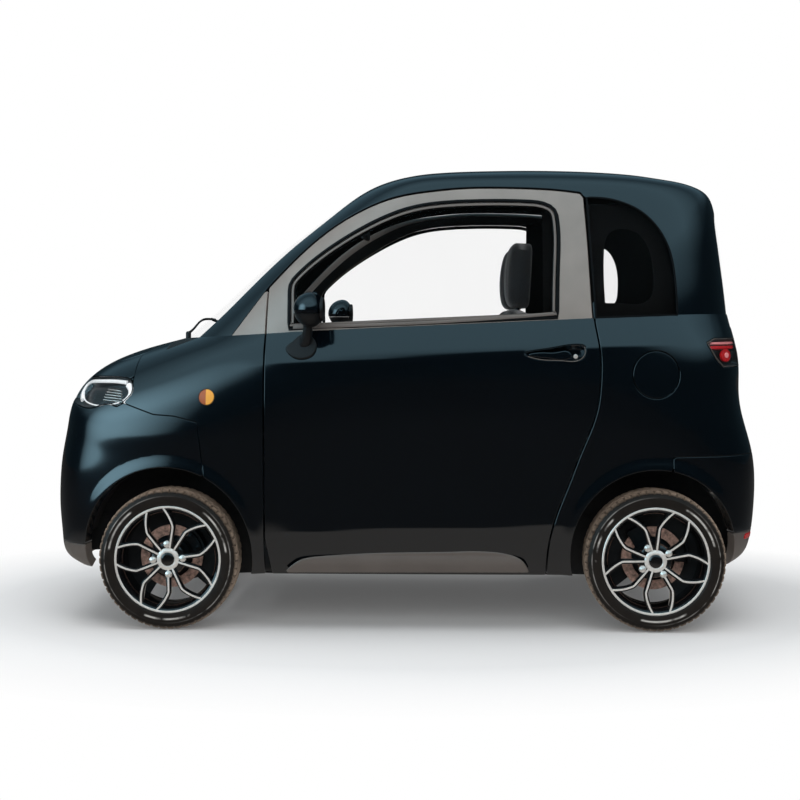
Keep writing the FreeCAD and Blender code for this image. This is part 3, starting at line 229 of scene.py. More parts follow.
# signed distance of points to a closed outline: nearest of all segments, negative inside by the crossing rule
def signedDistance(outline, u, v):
    a = outline
    b = np.roll(outline, -1, axis=0)
    flat = np.stack([u.ravel(), v.ravel()], -1)
    out = np.empty(len(flat))
    for start in range(0, len(flat), 20000):
        q = flat[start:start + 20000, None, :]
        ab = b - a
        w = np.clip(((q - a) * ab).sum(-1) / np.maximum((ab * ab).sum(-1), 1e-15), 0, 1)
        d = np.linalg.norm(q - (a + ab * w[..., None]), axis=-1).min(axis=1)
        crosses = (a[:, 1] > q[..., 1]) != (b[:, 1] > q[..., 1])
        at = a[:, 0] + (q[..., 1] - a[:, 1]) * ab[:, 0] / np.where(ab[:, 1] == 0, 1e-12, ab[:, 1])
        inside = (crosses & (q[..., 0] < at)).sum(axis=1) % 2 == 1
        out[start:start + 20000] = np.where(inside, -d, d)
    return out.reshape(u.shape)


# outline moved inwards: each point along the mean of its two edges' normals
def insetLine(outline, by):
    ahead = np.roll(outline, -1, axis=0) - np.roll(outline, 1, axis=0)
    normal = np.stack([ahead[:, 1], -ahead[:, 0]], -1)
    normal /= np.maximum(np.linalg.norm(normal, axis=1, keepdims=True), 1e-12)
    area = (outline[:, 0] * np.roll(outline[:, 1], -1) - np.roll(outline[:, 0], -1) * outline[:, 1]).sum()
    return outline - normal * by * np.sign(area)


def sideShape(outline):  # distance to an outline seen from the side, negative inside
    return lambda p: signedDistance(outline, p[..., 0], p[..., 2])


def planShape(outline):  # the same seen from above, both halves alike
    return lambda p: signedDistance(outline, p[..., 0], np.abs(p[..., 1]))


def frontShape(outline):  # the same seen from the front, both halves alike
    return lambda p: signedDistance(outline, np.abs(p[..., 1]), p[..., 2])


# rectangle about the middle plane, |y| up to half, heights low to high, with rounded outer corners
def roundedRectangle(half, low, high, radius):
    a = np.linspace(0, math.pi / 2, 7)
    top = [(half - radius + radius * math.sin(t), high - radius + radius * math.cos(t)) for t in a]
    foot = [(half - radius + radius * math.cos(t), low + radius - radius * math.sin(t)) for t in a]
    return np.array([(-half, high)] + top + foot + [(-half, low)])


def within(*shapes):  # inside all of them: the largest distance
    return lambda p: np.max([f(p) for f in shapes], axis=0)


def without(shape, *holes):  # inside the shape and outside every hole
    return lambda p: np.max([shape(p)] + [-h(p) for h in holes], axis=0)


def grown(shape, by):  # outline moved outwards
    return lambda p: shape(p) - by


def sideCircle(x, z, r):  # distance to a circle seen from the side
    return lambda p: np.hypot(p[..., 0] - x, p[..., 2] - z) - r


def aheadOf(x):  # half space: the plane's x less the point's, negative ahead of it
    return lambda p: x - p[..., 0]


def behind(x):  # the point's x less the plane's
    return lambda p: p[..., 0] - x


def above(z):  # the plane's height less the point's
    return lambda p: z - p[..., 2]


def below(z):  # the point's height less the plane's
    return lambda p: p[..., 2] - z


def onLeft(p):  # minus y, negative on the left
    return -p[..., 1]


def onRight(p):  # y, negative on the right
    return p[..., 1]


def outside(half):  # further from the middle plane than half, on the left
    return lambda p: half - p[..., 1]


def leftSide(outline):  # a side outline on the left half only
    return within(sideShape(outline), onLeft)


doorFrontX, doorRearX, doorTopZ = 0.466, -0.641, 1.511
doorLower = smoothOutline([
    (doorFrontX, 2 * beltZ), (doorFrontX, sillZ + 0.130), (doorFrontX - 0.012, sillZ + 0.050),
    (doorFrontX - 0.024, sillZ - 0.020), (doorRearX + 0.153, sillZ - 0.020), (doorRearX + 0.147, sillZ + 0.100),
    (doorRearX + 0.118, sillZ + 0.218), (doorRearX + 0.080, sillZ + 0.315), (doorRearX + 0.040, sillZ + 0.420),
    (doorRearX - 0.012, sillZ + 0.555), (doorRearX - 0.027, sillZ + 0.670), (doorRearX - 0.026, sillZ + 0.760),
    (doorRearX - 0.014, beltZ - 0.010), (doorRearX, beltZ + 0.105), (doorRearX, 2 * beltZ)], [0, 1, 3, 4, 13, 14])
doorUpper = smoothOutline([
    (doorFrontX, beltZ - 0.100), (doorFrontX, beltZ + 0.135), (doorFrontX - 0.118, beltZ + 0.258),
    (doorFrontX - 0.230, beltZ + 0.349), (doorFrontX - 0.323, beltZ + 0.402), (doorFrontX - 0.436, beltZ + 0.444),
    (doorFrontX - 0.560, beltZ + 0.465), (doorFrontX - 0.664, doorTopZ), (doorRearX + 0.258, doorTopZ + 0.001),
    (doorRearX + 0.107, doorTopZ - 0.007), (doorRearX + 0.032, doorTopZ - 0.016),
    (doorRearX + 0.020, doorTopZ - 0.030), (doorRearX + 0.006, doorTopZ - 0.248), (doorRearX, beltZ + 0.105),
    (doorRearX - 0.014, beltZ - 0.100)], [0, 1, 10, 11, 14])
windowLine = smoothOutline([
    (0.387, beltZ - 0.008), (0.390, beltZ + 0.107), (0.386, beltZ + 0.152), (0.363, beltZ + 0.182),
    (0.276, beltZ + 0.256), (0.183, beltZ + 0.317), (0.092, beltZ + 0.366), (-0.032, beltZ + 0.412),
    (-0.198, beltZ + 0.432), (-0.431, beltZ + 0.432), (-0.490, beltZ + 0.423), (-0.522, beltZ + 0.401),
    (-0.532, beltZ + 0.366), (-0.532, beltZ + 0.204), (-0.527, beltZ + 0.031)], [0, 14])
sailLine = smoothOutline([
    (0.590, beltZ - 0.200), (0.590, beltZ - 0.029), (doorFrontX + 0.005, beltZ + 0.135),
    (doorFrontX + 0.005, beltZ - 0.200)])
quarterLine = smoothOutline([
    (doorRearX - 0.018, beltZ + 0.031), (doorRearX - 0.005, doorTopZ - 0.248), (doorRearX + 0.008, doorTopZ - 0.030),
    (doorRearX - 0.059, doorTopZ - 0.033), (doorRearX - 0.110, doorTopZ - 0.045), (doorRearX - 0.171, doorTopZ - 0.072),
    (doorRearX - 0.220, doorTopZ - 0.113), (doorRearX - 0.257, doorTopZ - 0.165), (doorRearX - 0.281, doorTopZ - 0.226),
    (doorRearX - 0.292, doorTopZ - 0.294), (doorRearX - 0.297, doorTopZ - 0.368), (doorRearX - 0.299, beltZ + 0.041)],
    [0, 2, 11])
headLampLine = smoothOutline([
    (noseX - 0.020, beltZ - 0.232), (noseX - 0.100, beltZ - 0.276), (noseX - 0.180, beltZ - 0.280),
    (noseX - 0.240, beltZ - 0.268), (noseX - 0.272, beltZ - 0.274), (noseX - 0.294, beltZ - 0.255),
    (noseX - 0.315, beltZ - 0.234), (noseX - 0.320, beltZ - 0.206), (noseX - 0.308, beltZ - 0.183),
    (noseX - 0.278, beltZ - 0.176), (noseX - 0.215, beltZ - 0.175), (noseX - 0.120, beltZ - 0.178),
    (noseX - 0.060, beltZ - 0.190)], [])
tailLampLine = smoothOutline([
    (-tailX + 0.212, beltZ - 0.055), (-tailX + 0.183, beltZ - 0.040), (-tailX - 0.030, beltZ - 0.040),
    (-tailX - 0.030, beltZ - 0.138), (-tailX + 0.150, beltZ - 0.139), (-tailX + 0.179, beltZ - 0.110)])
splitPoints = [
    (noseX - 0.318, beltZ - 0.200), (noseX - 0.293, beltZ - 0.262), (noseX - 0.403, beltZ - 0.299),
    (noseX - 0.476, beltZ - 0.304), (noseX - 0.557, beltZ - 0.325), (0.671, 0.498)]
fenderZone = smoothOutline([(doorFrontX, 0), (doorFrontX, 2.0), (noseX - 0.348, 2.0)] + splitPoints + [(0.671, 0)])
hoodRearX, hoodHalf = cowlX + 0.030, 0.470
hoodLine = smoothOutline([
    (hoodRearX - 0.060, -0.010), (hoodRearX - 0.060, hoodHalf - 0.170), (hoodRearX - 0.030, hoodHalf - 0.098),
    (hoodRearX + 0.010, hoodHalf - 0.052), (hoodRearX + 0.065, hoodHalf - 0.032), (hoodRearX + 0.115, hoodHalf - 0.038),
    (hoodRearX + 0.220, hoodHalf - 0.110), (hoodRearX + 0.285, hoodHalf - 0.210),
    (hoodRearX + 0.316, hoodHalf - 0.340), (hoodRearX + 0.322, -0.010)], [0, 1, 9])
screenHalf = 0.500
screenOutline = smoothOutline([
    (-0.010, cowlZ - 0.060), (screenHalf + 0.040, cowlZ - 0.060), (screenHalf + 0.012, cowlZ + 0.060),
    (screenHalf - 0.010, cowlZ + 0.180), (screenHalf - 0.030, cowlZ + 0.350), (screenHalf - 0.055, cowlZ + 0.480),
    (screenHalf - 0.085, cowlZ + 0.528), (screenHalf - 0.130, cowlZ + 0.558), (screenHalf - 0.190, cowlZ + 0.566),
    (-0.010, cowlZ + 0.566)], [0, 1, 8, 9])
hatchHalf, hatchTopZ, hatchLowZ = 0.395, 1.440, 0.600
hatchLine = smoothOutline([
    (-0.010, hatchLowZ), (hatchHalf - 0.060, hatchLowZ), (hatchHalf - 0.014, hatchLowZ + 0.018),
    (hatchHalf, hatchLowZ + 0.070), (hatchHalf, beltZ - 0.100), (hatchHalf, beltZ + 0.042),
    (hatchHalf - 0.005, hatchTopZ - 0.120), (hatchHalf - 0.030, hatchTopZ - 0.030), (hatchHalf - 0.090, hatchTopZ),
    (-0.010, hatchTopZ)], [0, 1, 3, 5, 8, 9])
flapX, flapZ, flapR = -0.859, 0.874, 0.079
gap = car["gap"]
frontArch = sideCircle(*sculpt["frontArch"])
rearArch = sideCircle(*sculpt["rearArch"])
hatchZone = within(frontShape(hatchLine), behind(-0.6))
hoodZone = within(planShape(hoodLine), aheadOf(hoodRearX), above(0.49))


# mesh from a point array and lists of faces with the same number of corners; normals kept where given
def meshFrom(name, points, faceSets, normals=None, sharpDegrees=None):
    mesh = bpy.data.meshes.new(name)
    loops = np.concatenate([f.ravel() for f in faceSets]).astype(np.int32)
    totals = np.concatenate([np.full(len(f), f.shape[1]) for f in faceSets])
    starts = np.concatenate([[0], np.cumsum(totals)[:-1]]).astype(np.int32)
    mesh.vertices.add(len(points))
    mesh.vertices.foreach_set("co", points.astype(np.float32).ravel())
    mesh.loops.add(len(loops))
    mesh.loops.foreach_set("vertex_index", loops)
    mesh.polygons.add(len(totals))
    mesh.polygons.foreach_set("loop_start", starts)
    mesh.update(calc_edges=True)
    mesh.shade_smooth()
    if sharpDegrees is not None:
        mesh.set_sharp_from_angle(angle=math.radians(sharpDegrees))
    if normals is not None:
        mesh.normals_split_custom_set_from_vertices(normals.tolist())
    return mesh


def otherSide(name):  # the right side's name for a left piece, body or node
    return name.replace("Left", "Right").replace("left", "right")


# object that rides on a body and stands for the nodes it replaces
def addPiece(name, mesh, body, materials, slotName, replaced=()):
    obj = bpy.data.objects.new(name, mesh)
    bpy.context.scene.collection.objects.link(obj)
    for material in materials:
        mesh.materials.append(material)
    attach(obj, body)
    if replaced:
        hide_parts(*replaced)
    return obj


# grid of points to faces: (i, j) joins (i, j + 1), (i + 1, j + 1) and (i + 1, j), wrapping where closed
def gridFaces(rows, columns, closeRows=False, closeColumns=False, flip=False, first=0):
    i = np.arange(rows if closeRows else rows - 1)[:, None]
    j = np.arange(columns if closeColumns else columns - 1)[None, :]
    i2, j2 = (i + 1) % rows, (j + 1) % columns
    faces = np.stack([i * columns + j, i * columns + j2, i2 * columns + j2, i2 * columns + j], -1).reshape(-1, 4)
    return (faces[:, ::-1] if flip else faces) + first


# piece of a skin where region < 0: the (t, s) grid's triangles, cut where region crosses zero
def cutSheet(skin, region, spacing, roll):
    shape = lambda t, s: region(skin(t, s)) + roll
    tCoarse, sCoarse = np.meshgrid(np.linspace(0, 1, 61), np.linspace(-0.5, 1.5, 241), indexing="ij")
    near = shape(tCoarse, sCoarse) < 0.02
    tRange = tCoarse[near].min() - 1 / 60, tCoarse[near].max() + 1 / 60
    sRange = sCoarse[near].min() - 1 / 120, sCoarse[near].max() + 1 / 120
    tRange = max(tRange[0], 0.0), min(tRange[1], 1.0)
    mids = skin(np.linspace(*tRange, 30), np.full(30, sum(sRange) / 2))
    tCount = int(np.linalg.norm(np.diff(mids, axis=0), axis=1).sum() / spacing) + 3
    mids = skin(np.full(60, sum(tRange) / 2), np.linspace(*sRange, 60))
    sCount = int(np.linalg.norm(np.diff(mids, axis=0), axis=1).sum() / spacing) + 3
    t, s = np.meshgrid(np.linspace(*tRange, tCount), np.linspace(*sRange, sCount), indexing="ij")
    t, s = t.ravel(), s.ravel()
    f = shape(t, s)
    quads = gridFaces(tCount, sCount)
    triangles = np.concatenate([quads[:, [0, 1, 2]], quads[:, [0, 2, 3]]])
    inside = f < 0
    count = inside[triangles].sum(axis=1)
    full = triangles[count == 3]
    mixed = triangles[(count == 1) | (count == 2)]
    one = inside[mixed].sum(axis=1) == 1
    lone = np.argmax(inside[mixed] == one[:, None], axis=1)
    mixed = np.take_along_axis(mixed, (lone[:, None] + np.arange(3)) % 3, axis=1)
    edges = np.concatenate([mixed[:, [0, 1]], mixed[:, [0, 2]]])
    low, high = edges.min(axis=1), edges.max(axis=1)
    code, back = np.unique(low * len(t) + high, return_inverse=True)
    a, b = code // len(t), code % len(t)
    swap = ~inside[a]
    a, b = np.where(swap, b, a), np.where(swap, a, b)
    lo, hi = np.zeros(len(a)), np.ones(len(a))
    for _ in range(7):
        mid = (lo + hi) / 2
        isIn = shape(t[a] + (t[b] - t[a]) * mid, s[a] + (s[b] - s[a]) * mid) < 0
        lo, hi = np.where(isIn, mid, lo), np.where(isIn, hi, mid)
    fa = shape(t[a] + (t[b] - t[a]) * lo, s[a] + (s[b] - s[a]) * lo)
    fb = shape(t[a] + (t[b] - t[a]) * hi, s[a] + (s[b] - s[a]) * hi)
    w = lo + (hi - lo) * np.clip(fa / np.where(fa == fb, 1, fa - fb), 0, 1)
    tAll = np.concatenate([t, t[a] + (t[b] - t[a]) * w])
    sAll = np.concatenate([s, s[a] + (s[b] - s[a]) * w])
    cut = back.reshape(-1) + len(t)
    e1, e2 = cut[:len(mixed)], cut[len(mixed):]
    v0, v1, v2 = mixed.T
    ones = np.stack([v0, e1, e2], -1)[one]
    twos = np.concatenate([np.stack([e1, v1, v2], -1)[~one], np.stack([e1, v2, e2], -1)[~one]])
    faces = np.concatenate([full, ones, twos])
    used, faces = np.unique(faces, return_inverse=True)
    return tAll[used], sAll[used], faces.reshape(-1, 3)


# edges that only one triangle has: those whose reverse isn't there
def rimEdges(faces, count):
    directed = np.concatenate([faces[:, [0, 1]], faces[:, [1, 2]], faces[:, [2, 0]]])
    code = directed[:, 0] * count + directed[:, 1]
    return directed[~np.isin(code, directed[:, 1] * count + directed[:, 0])]


# panel: the cut sheet, an edge rolled over a quarter circle, straight down to the depth, and the inner sheet
def panelArrays(skin, region, spacing, roll, depth, lift=0.0):
    t, s, faces = cutSheet(skin, region, spacing, roll)
    n = normalOf(skin, t, s)
    p = skin(t, s) + n * lift
    rim = rimEdges(faces, len(p))
    size = len(p)
    out = np.zeros_like(p)
    away = np.cross(p[rim[:, 1]] - p[rim[:, 0]], n[rim[:, 0]] + n[rim[:, 1]])
    np.add.at(out, rim[:, 0], away)
    np.add.at(out, rim[:, 1], away)
    edge = np.unique(rim)
    g = out[edge] / np.maximum(np.linalg.norm(out[edge], axis=1, keepdims=True), 1e-12)
    m = n[edge]
    g = g - m * (g * m).sum(axis=1, keepdims=True)
    place = np.zeros(size, int)
    place[edge] = np.arange(len(edge))
    points, normals, quads = [p], [n], []
    last = edge
    start = size
    first, second = place[rim[:, 0]], place[rim[:, 1]]
    for turn in (30, 60, 90, None):
        if turn is None:
            points.append(p[edge] + g * roll - m * depth)
            normals.append(g)
        else:
            sine, cosine = math.sin(math.radians(turn)), math.cos(math.radians(turn))
            points.append(p[edge] + g * roll * sine - m * roll * (1 - cosine))
            normals.append(g * sine + m * cosine)
        now = start + np.arange(len(edge))
        quads.append(np.stack([last[second], last[first], now[first], now[second]], -1))
        last = now
        start += len(edge)
    inner = start + np.arange(size)
    points.append(p - n * depth)
    normals.append(-n)
    quads.append(np.stack([now[second], now[first], inner[rim[:, 0]], inner[rim[:, 1]]], -1))
    return np.concatenate(points), np.concatenate(normals), faces, np.concatenate(quads), faces[:, ::-1] + start


# mesh of a panel: material 0 outside and over the edge, material 1 inside; the right side's is turned over
def panelMesh(name, arrays, mirror=False):
    points, normals, outer, quads, inner = arrays
    if mirror:
        points, normals = points * [1, -1, 1], normals * [1, -1, 1]
        outer, quads, inner = outer[:, ::-1], quads[:, ::-1], inner[:, ::-1]
    mesh = meshFrom(name, points, [outer, inner, quads], normals)
    slotIndex = np.zeros(len(outer) + len(inner) + len(quads), np.int32)
    slotIndex[len(outer):len(outer) + len(inner)] = 1
    mesh.polygons.foreach_set("material_index", slotIndex)
    return mesh


# panel of a skin in one of the looks; with both, its mirror image on the right stands for the right side's nodes
def panel(name, skin, region, look, body, replaced=(), both=False, **settings):
    arrays = panelArrays(skin, region, **settings)
    addPiece(name, panelMesh(name, arrays), body, *looks[look], replaced)
    if both:
        name, right = otherSide(name), [otherSide(node) for node in replaced if otherSide(node) != node]
        addPiece(name, panelMesh(name, arrays, True), otherSide(body), *looks[look], right)


# point of a skin seen from the side at (x, z): nearest grid point, then Newton steps on its two differences
def skinAt(skin, x, z, lift=0.0):
    x, z = np.atleast_1d(np.asarray(x, float)), np.atleast_1d(np.asarray(z, float))
    tg, sg = np.meshgrid(np.linspace(0.01, 0.99, 60), np.linspace(0.01, 0.99, 120), indexing="ij")
    pg = skin(tg.ravel(), sg.ravel())
    k = np.argmin((pg[None, :, 0] - x[:, None]) ** 2 + (pg[None, :, 2] - z[:, None]) ** 2, axis=1)
    t, s = tg.ravel()[k], sg.ravel()[k]
    step = 0.002
    for _ in range(8):
        p = skin(t, s)
        dt = (skin(t + step, s) - skin(t - step, s)) / (2 * step)
        ds = (skin(t, s + step) - skin(t, s - step)) / (2 * step)
        ex, ez = x - p[:, 0], z - p[:, 2]
        det = dt[:, 0] * ds[:, 2] - dt[:, 2] * ds[:, 0]
        det = np.where(np.abs(det) < 1e-9, 1e-9, det)
        t = np.clip(t + np.clip((ex * ds[:, 2] - ez * ds[:, 0]) / det, -0.05, 0.05), 0.0, 1.0)
        s = np.clip(s + np.clip((dt[:, 0] * ez - dt[:, 2] * ex) / det, -0.05, 0.05), 0.0, 1.0)
    n = normalOf(skin, t, s)
    return skin(t, s) + n * lift, n


# tube along a path: the section (side, up) is carried on a frame of the path's tangent and the given up vectors
def sweep(path, ups, section, closedPath=False, scale=None):
    tangent = np.gradient(path, axis=0) if not closedPath else np.roll(path, -1, 0) - np.roll(path, 1, 0)
    tangent /= np.maximum(np.linalg.norm(tangent, axis=1, keepdims=True), 1e-12)
    ups = np.broadcast_to(ups, path.shape)
    side = np.cross(tangent, ups)
    side /= np.maximum(np.linalg.norm(side, axis=1, keepdims=True), 1e-12)
    up = np.cross(side, tangent)
    sec = np.broadcast_to(section, (len(path),) + section.shape[-2:])
    if scale is not None:
        sec = sec * np.asarray(scale).reshape(len(path), -1, 1)
    points = path[:, None, :] + side[:, None, :] * sec[..., :1] + up[:, None, :] * sec[..., 1:]
    if closedPath:
        return points.reshape(-1, 3), [gridFaces(*points.shape[:2], True, True)]
    return cappedGrid(points)


def circle(radius, count=12, flat=1.0):  # (r cos a, flat r sin a)
    a = np.linspace(0, 2 * math.pi, count, endpoint=False)
    return np.stack([radius * np.cos(a), radius * flat * np.sin(a)], -1)


# rounded box section: superellipse of half sizes (a, b)
def roundedBox(a, b, power=4.0, count=16):
    w = np.linspace(0, 2 * math.pi, count, endpoint=False) + math.pi / count
    c, s = np.cos(w), np.sin(w)
    return np.stack([a * np.sign(c) * np.abs(c) ** (2 / power), b * np.sign(s) * np.abs(s) ** (2 / power)], -1)


# grid of closed rings, with a fan over each end ring's middle
def cappedGrid(points, flip=False):
    rows, columns = points.shape[:2]
    flat = np.concatenate([points.reshape(-1, 3), np.stack([points[0].mean(0), points[-1].mean(0)])])
    j = np.arange(columns)
    j2 = (j + 1) % columns
    first, second = (j, j2) if flip else (j2, j)
    last = (rows - 1) * columns
    fans = [np.stack([np.full(columns, len(flat) - 2), first, second], -1),
            np.stack([np.full(columns, len(flat) - 1), second + last, first + last], -1)]
    return flat, [gridFaces(rows, columns, False, True, flip)] + fans


# joins several (points, faces) sets into one
def joined(parts):
    points, faces = [], []
    start = 0
    for p, fs in parts:
        points.append(p)
        faces += [f + start for f in fs]
        start += len(p)
    points = np.concatenate(points)
    byCorners = {}
    for f in faces:
        byCorners.setdefault(f.shape[1], []).append(f)
    return points, [np.concatenate(v) for v in byCorners.values()]


# turned form: profile (radius, height) round an axis through centre; the frame's z is the axis
def turned(profile, centre, axis, count=64, closed=False):
    axis = np.array(axis, float) / np.linalg.norm(axis)
    helper = np.array([1.0, 0, 0]) if abs(axis[0]) < 0.9 else np.array([0, 0, 1.0])
    u = np.cross(helper, axis)
    u /= np.linalg.norm(u)
    v = np.cross(axis, u)
    a = np.linspace(0, 2 * math.pi, count, endpoint=False)
    profile = np.array(profile, float)
    r = profile[:, 0][:, None, None]
    h = profile[:, 1][:, None, None]
    around = np.cos(a)[None, :, None] * u + np.sin(a)[None, :, None] * v
    points = np.array(centre) + around * r + axis * h
    return points.reshape(-1, 3), [gridFaces(len(profile), count, closed, True, flip=True)]


def mirroredSet(parts):  # y turned over, and the faces' order with it
    points, faces = parts
    return points * [1, -1, 1], [f[:, ::-1] for f in faces]


# piece from points and faces; edges that turn by more than the angle stay sharp
def pieceFrom(name, parts, body, material, slotName, replaced=(), sharp=35):
    return addPiece(name, meshFrom(name, *parts, sharpDegrees=sharp), body, [material], slotName, replaced)


# left pieces, each (name, parts, material, slot, replaced nodes, sharp angle), then their mirror images on the right
def bothSides(body, *pieces):
    for name, parts, material, slotName, replaced, sharp in pieces:
        pieceFrom(name, parts, body, material, slotName, replaced, sharp)
    for name, parts, material, slotName, replaced, sharp in pieces:
        right = [otherSide(node) for node in replaced if otherSide(node) != node]
        pieceFrom(otherSide(name), mirroredSet(parts), otherSide(body), material, slotName, right, sharp)


print("shape functions ready")


class Field:  # a shader number; the operators below add Math nodes
    def __init__(self, tree, socket):
        self.tree, self.socket = tree, socket

    def maths(self, kind, *values):  # one Math node; a value is a Field or a number
        node = self.tree.nodes.new("ShaderNodeMath")
        node.operation = kind
        for i, value in enumerate(values):
            if isinstance(value, Field):
                self.tree.links.new(value.socket, node.inputs[i])
            else:
                node.inputs[i].default_value = value
        return Field(self.tree, node.outputs[0])

    def __add__(self, other):
        return self.maths("ADD", self, other)

    def __sub__(self, other):
        return self.maths("SUBTRACT", self, other)

    def __rsub__(self, other):
        return self.maths("SUBTRACT", other, self)

    def __mul__(self, other):
        return self.maths("MULTIPLY", self, other)

    def __truediv__(self, other):
        return self.maths("DIVIDE", self, other)

    __radd__ = __add__
    __rmul__ = __mul__

    def sine(self):  # sine of the number, in radians
        return self.maths("SINE", self)

    def over(self, edge, soft):  # 0 below edge, 1 above edge + soft
        return self.maths("MINIMUM", self.maths("MAXIMUM", (self - edge) / soft, 0.0), 1.0)


class Graph:  # one material's nodes
    def __init__(self, name, **sockets):
        self.material = bpy.data.materials.new(name)
        self.material.use_nodes = True
        self.tree = self.material.node_tree
        self.shader = self.tree.nodes["Principled BSDF"]
        for key, value in sockets.items():
            self.shader.inputs[key.replace("_", " ")].default_value = value
        self.place = self.node("ShaderNodeTexCoord", {}, output="Object")

    def node(self, kind, settings, output=0, **sockets):  # atN is the socket with number N, other keys are names
        node = self.tree.nodes.new(kind)
        for key, value in settings.items():
            setattr(node, key, value)
        for key, value in sockets.items():
            socket = node.inputs[int(key[2:])] if key[:2] == "at" else node.inputs[key.replace("_", " ")]
            if isinstance(value, Field):
                self.tree.links.new(value.socket, socket)
            else:
                socket.default_value = value
        return Field(self.tree, node.outputs[output])

    def light(self, colour, strength):  # plain emission
        return self.node("ShaderNodeEmission", {}, Color=colour, Strength=strength)

    def ray(self, kind):  # 1 for rays of that kind
        return self.node("ShaderNodeLightPath", {}, output="Is " + kind + " Ray")

    def noise(self, scale, detail=3.0, rough=0.5, vector=None):  # 0 to 1, scale in cells to the metre
        return self.node("ShaderNodeTexNoise", {}, Vector=vector or self.place, Scale=scale, Detail=detail,
                         Roughness=rough)

    def stretched(self, x, y, z):  # Object coordinates scaled along the axes
        return self.node("ShaderNodeMapping", {}, Vector=self.place, Scale=(x, y, z))

    def axis(self, name):  # one of the Object coordinates
        return self.node("ShaderNodeSeparateXYZ", {}, output=name, Vector=self.place)

    def mix(self, share, a, b):  # colour a where share is 0, b where it is 1
        return self.node("ShaderNodeMix", {"data_type": "RGBA"}, output=2, at0=share, at6=a, at7=b)

    def feed(self, socketName, field):  # into the Principled shader
        self.tree.links.new(field.socket, self.shader.inputs[socketName])

    def bump(self, height, strength, distance=0.001):  # heights that tilt the Normal
        self.feed("Normal", self.node("ShaderNodeBump", {}, Height=height, Strength=strength, Distance=distance))


class SkyGraph(Graph):  # the world's nodes; Object coordinates are the ray's direction there
    def __init__(self, tree):
        self.tree = tree
        self.place = self.node("ShaderNodeTexCoord", {}, output="Object")


def rgb(r, g, b):  # display values 0..255 to a linear colour
    return tuple((v / 255 / 12.92 if v < 10.3 else ((v / 255 + 0.055) / 1.055) ** 2.4) for v in (r, g, b)) + (1.0,)


tones = {
    "paint": (3, 6, 9), "paintEdge": (5, 10, 15), "satin": (119, 113, 108), "trim": (88, 82, 78),
    "markerDark": (150, 78, 34), "seal": (7, 7, 8), "tyre": (20, 18, 17), "dust": (172, 152, 134),
    "glintTone": (190, 187, 182), "rimBlack": (12, 12, 13), "machined": (232, 228, 222),
    "rust": (196, 158, 142), "interior": (24, 24, 25), "cloth": (30, 31, 33),
    "carpet": (26, 26, 27), "liner": (20, 20, 21), "steel": (58, 58, 60),
    "chassis": (24, 24, 26), "glass": (120, 132, 130), "lampDark": (16, 17, 19), "lens": (232, 236, 238),
    "red": (176, 10, 18), "pink": (226, 140, 142), "amber": (236, 168, 60), "floor": (206, 206, 206),
}


def tone(name, by=1.0):  # a tone, darker or lighter by a factor
    return rgb(*[min(v * by, 255) for v in tones[name]])


# near-black base under a clear coat; fine flakes and a haze lift the tone
def paintMaterial():
    g = Graph("bodyPaint", Roughness=0.32, Metallic=0.0, IOR=1.15, Coat_Weight=1.0, Coat_Roughness=0.10,
              Coat_IOR=1.62)
    g.shader.inputs["Specular Tint"].default_value = (0.55, 0.80, 1.0, 1)
    g.shader.inputs["Coat Tint"].default_value = (0.80, 0.92, 1.0, 1)
    flakes = g.node("ShaderNodeTexVoronoi", {}, output=1, Vector=g.place, Scale=2600.0)
    fleck = g.node("ShaderNodeSeparateColor", {}, output=0, Color=flakes).over(0.72, 0.2)
    haze = g.noise(3.0, 2.0)
    g.feed("Base Color", g.mix(fleck * 0.5 + haze * 0.4, tone("paint"), tone("paintEdge", 1.2)))
    g.feed("Metallic", fleck * 0.25 + 0.25)
    dust = g.noise(55.0, 4.0) * g.noise(6.0, 2.0)
    g.feed("Roughness", dust * 0.10 + 0.30)
    g.bump(g.noise(900.0, 1.0) * 0.2 + g.noise(14.0, 2.0), 0.05, 0.0010)
    return g.material


# tone that drifts by 18 %, wandering roughness and a fine grain
def plasticMaterial(name, colour, low, high, grain=1400.0, strength=0.15, by=1.0, **sockets):
    g = Graph(name, **sockets)
    g.feed("Base Color", g.mix(g.noise(9.0, 4.0), tone(colour, by), tone(colour, by * 1.18)))
    g.feed("Roughness", g.noise(45.0) * (high - low) + low)
    g.bump(g.noise(grain, 2.0), strength, 0.0004)
    return g.material


# brushed: one stretched noise drives tone, roughness and grain
def metalMaterial(name, colour, low, high, grain=(30, 900, 30), strength=0.08, shine=1.0):
    g = Graph(name, Metallic=shine)
    streak = g.noise(1.0, 4.0, vector=g.stretched(*grain))
    g.feed("Base Color", g.mix(streak, tone(colour), tone(colour, 0.82)))
    g.feed("Roughness", streak * (high - low) + low)
    g.bump(streak, strength, 0.0003)
    return g.material


# thin clear sheet: low alpha with a film that drifts over it
def glassMaterial(name, colour, alpha, ior=1.45):
    g = Graph(name, IOR=ior)
    film = g.noise(2.2, 3.0)
    g.feed("Base Color", g.mix(film, tone(colour, 0.18), tone(colour, 0.24)))
    g.feed("Roughness", film * 0.02 + 0.01)
    g.feed("Alpha", film * 0.02 + (alpha - 0.01))
    return g.material


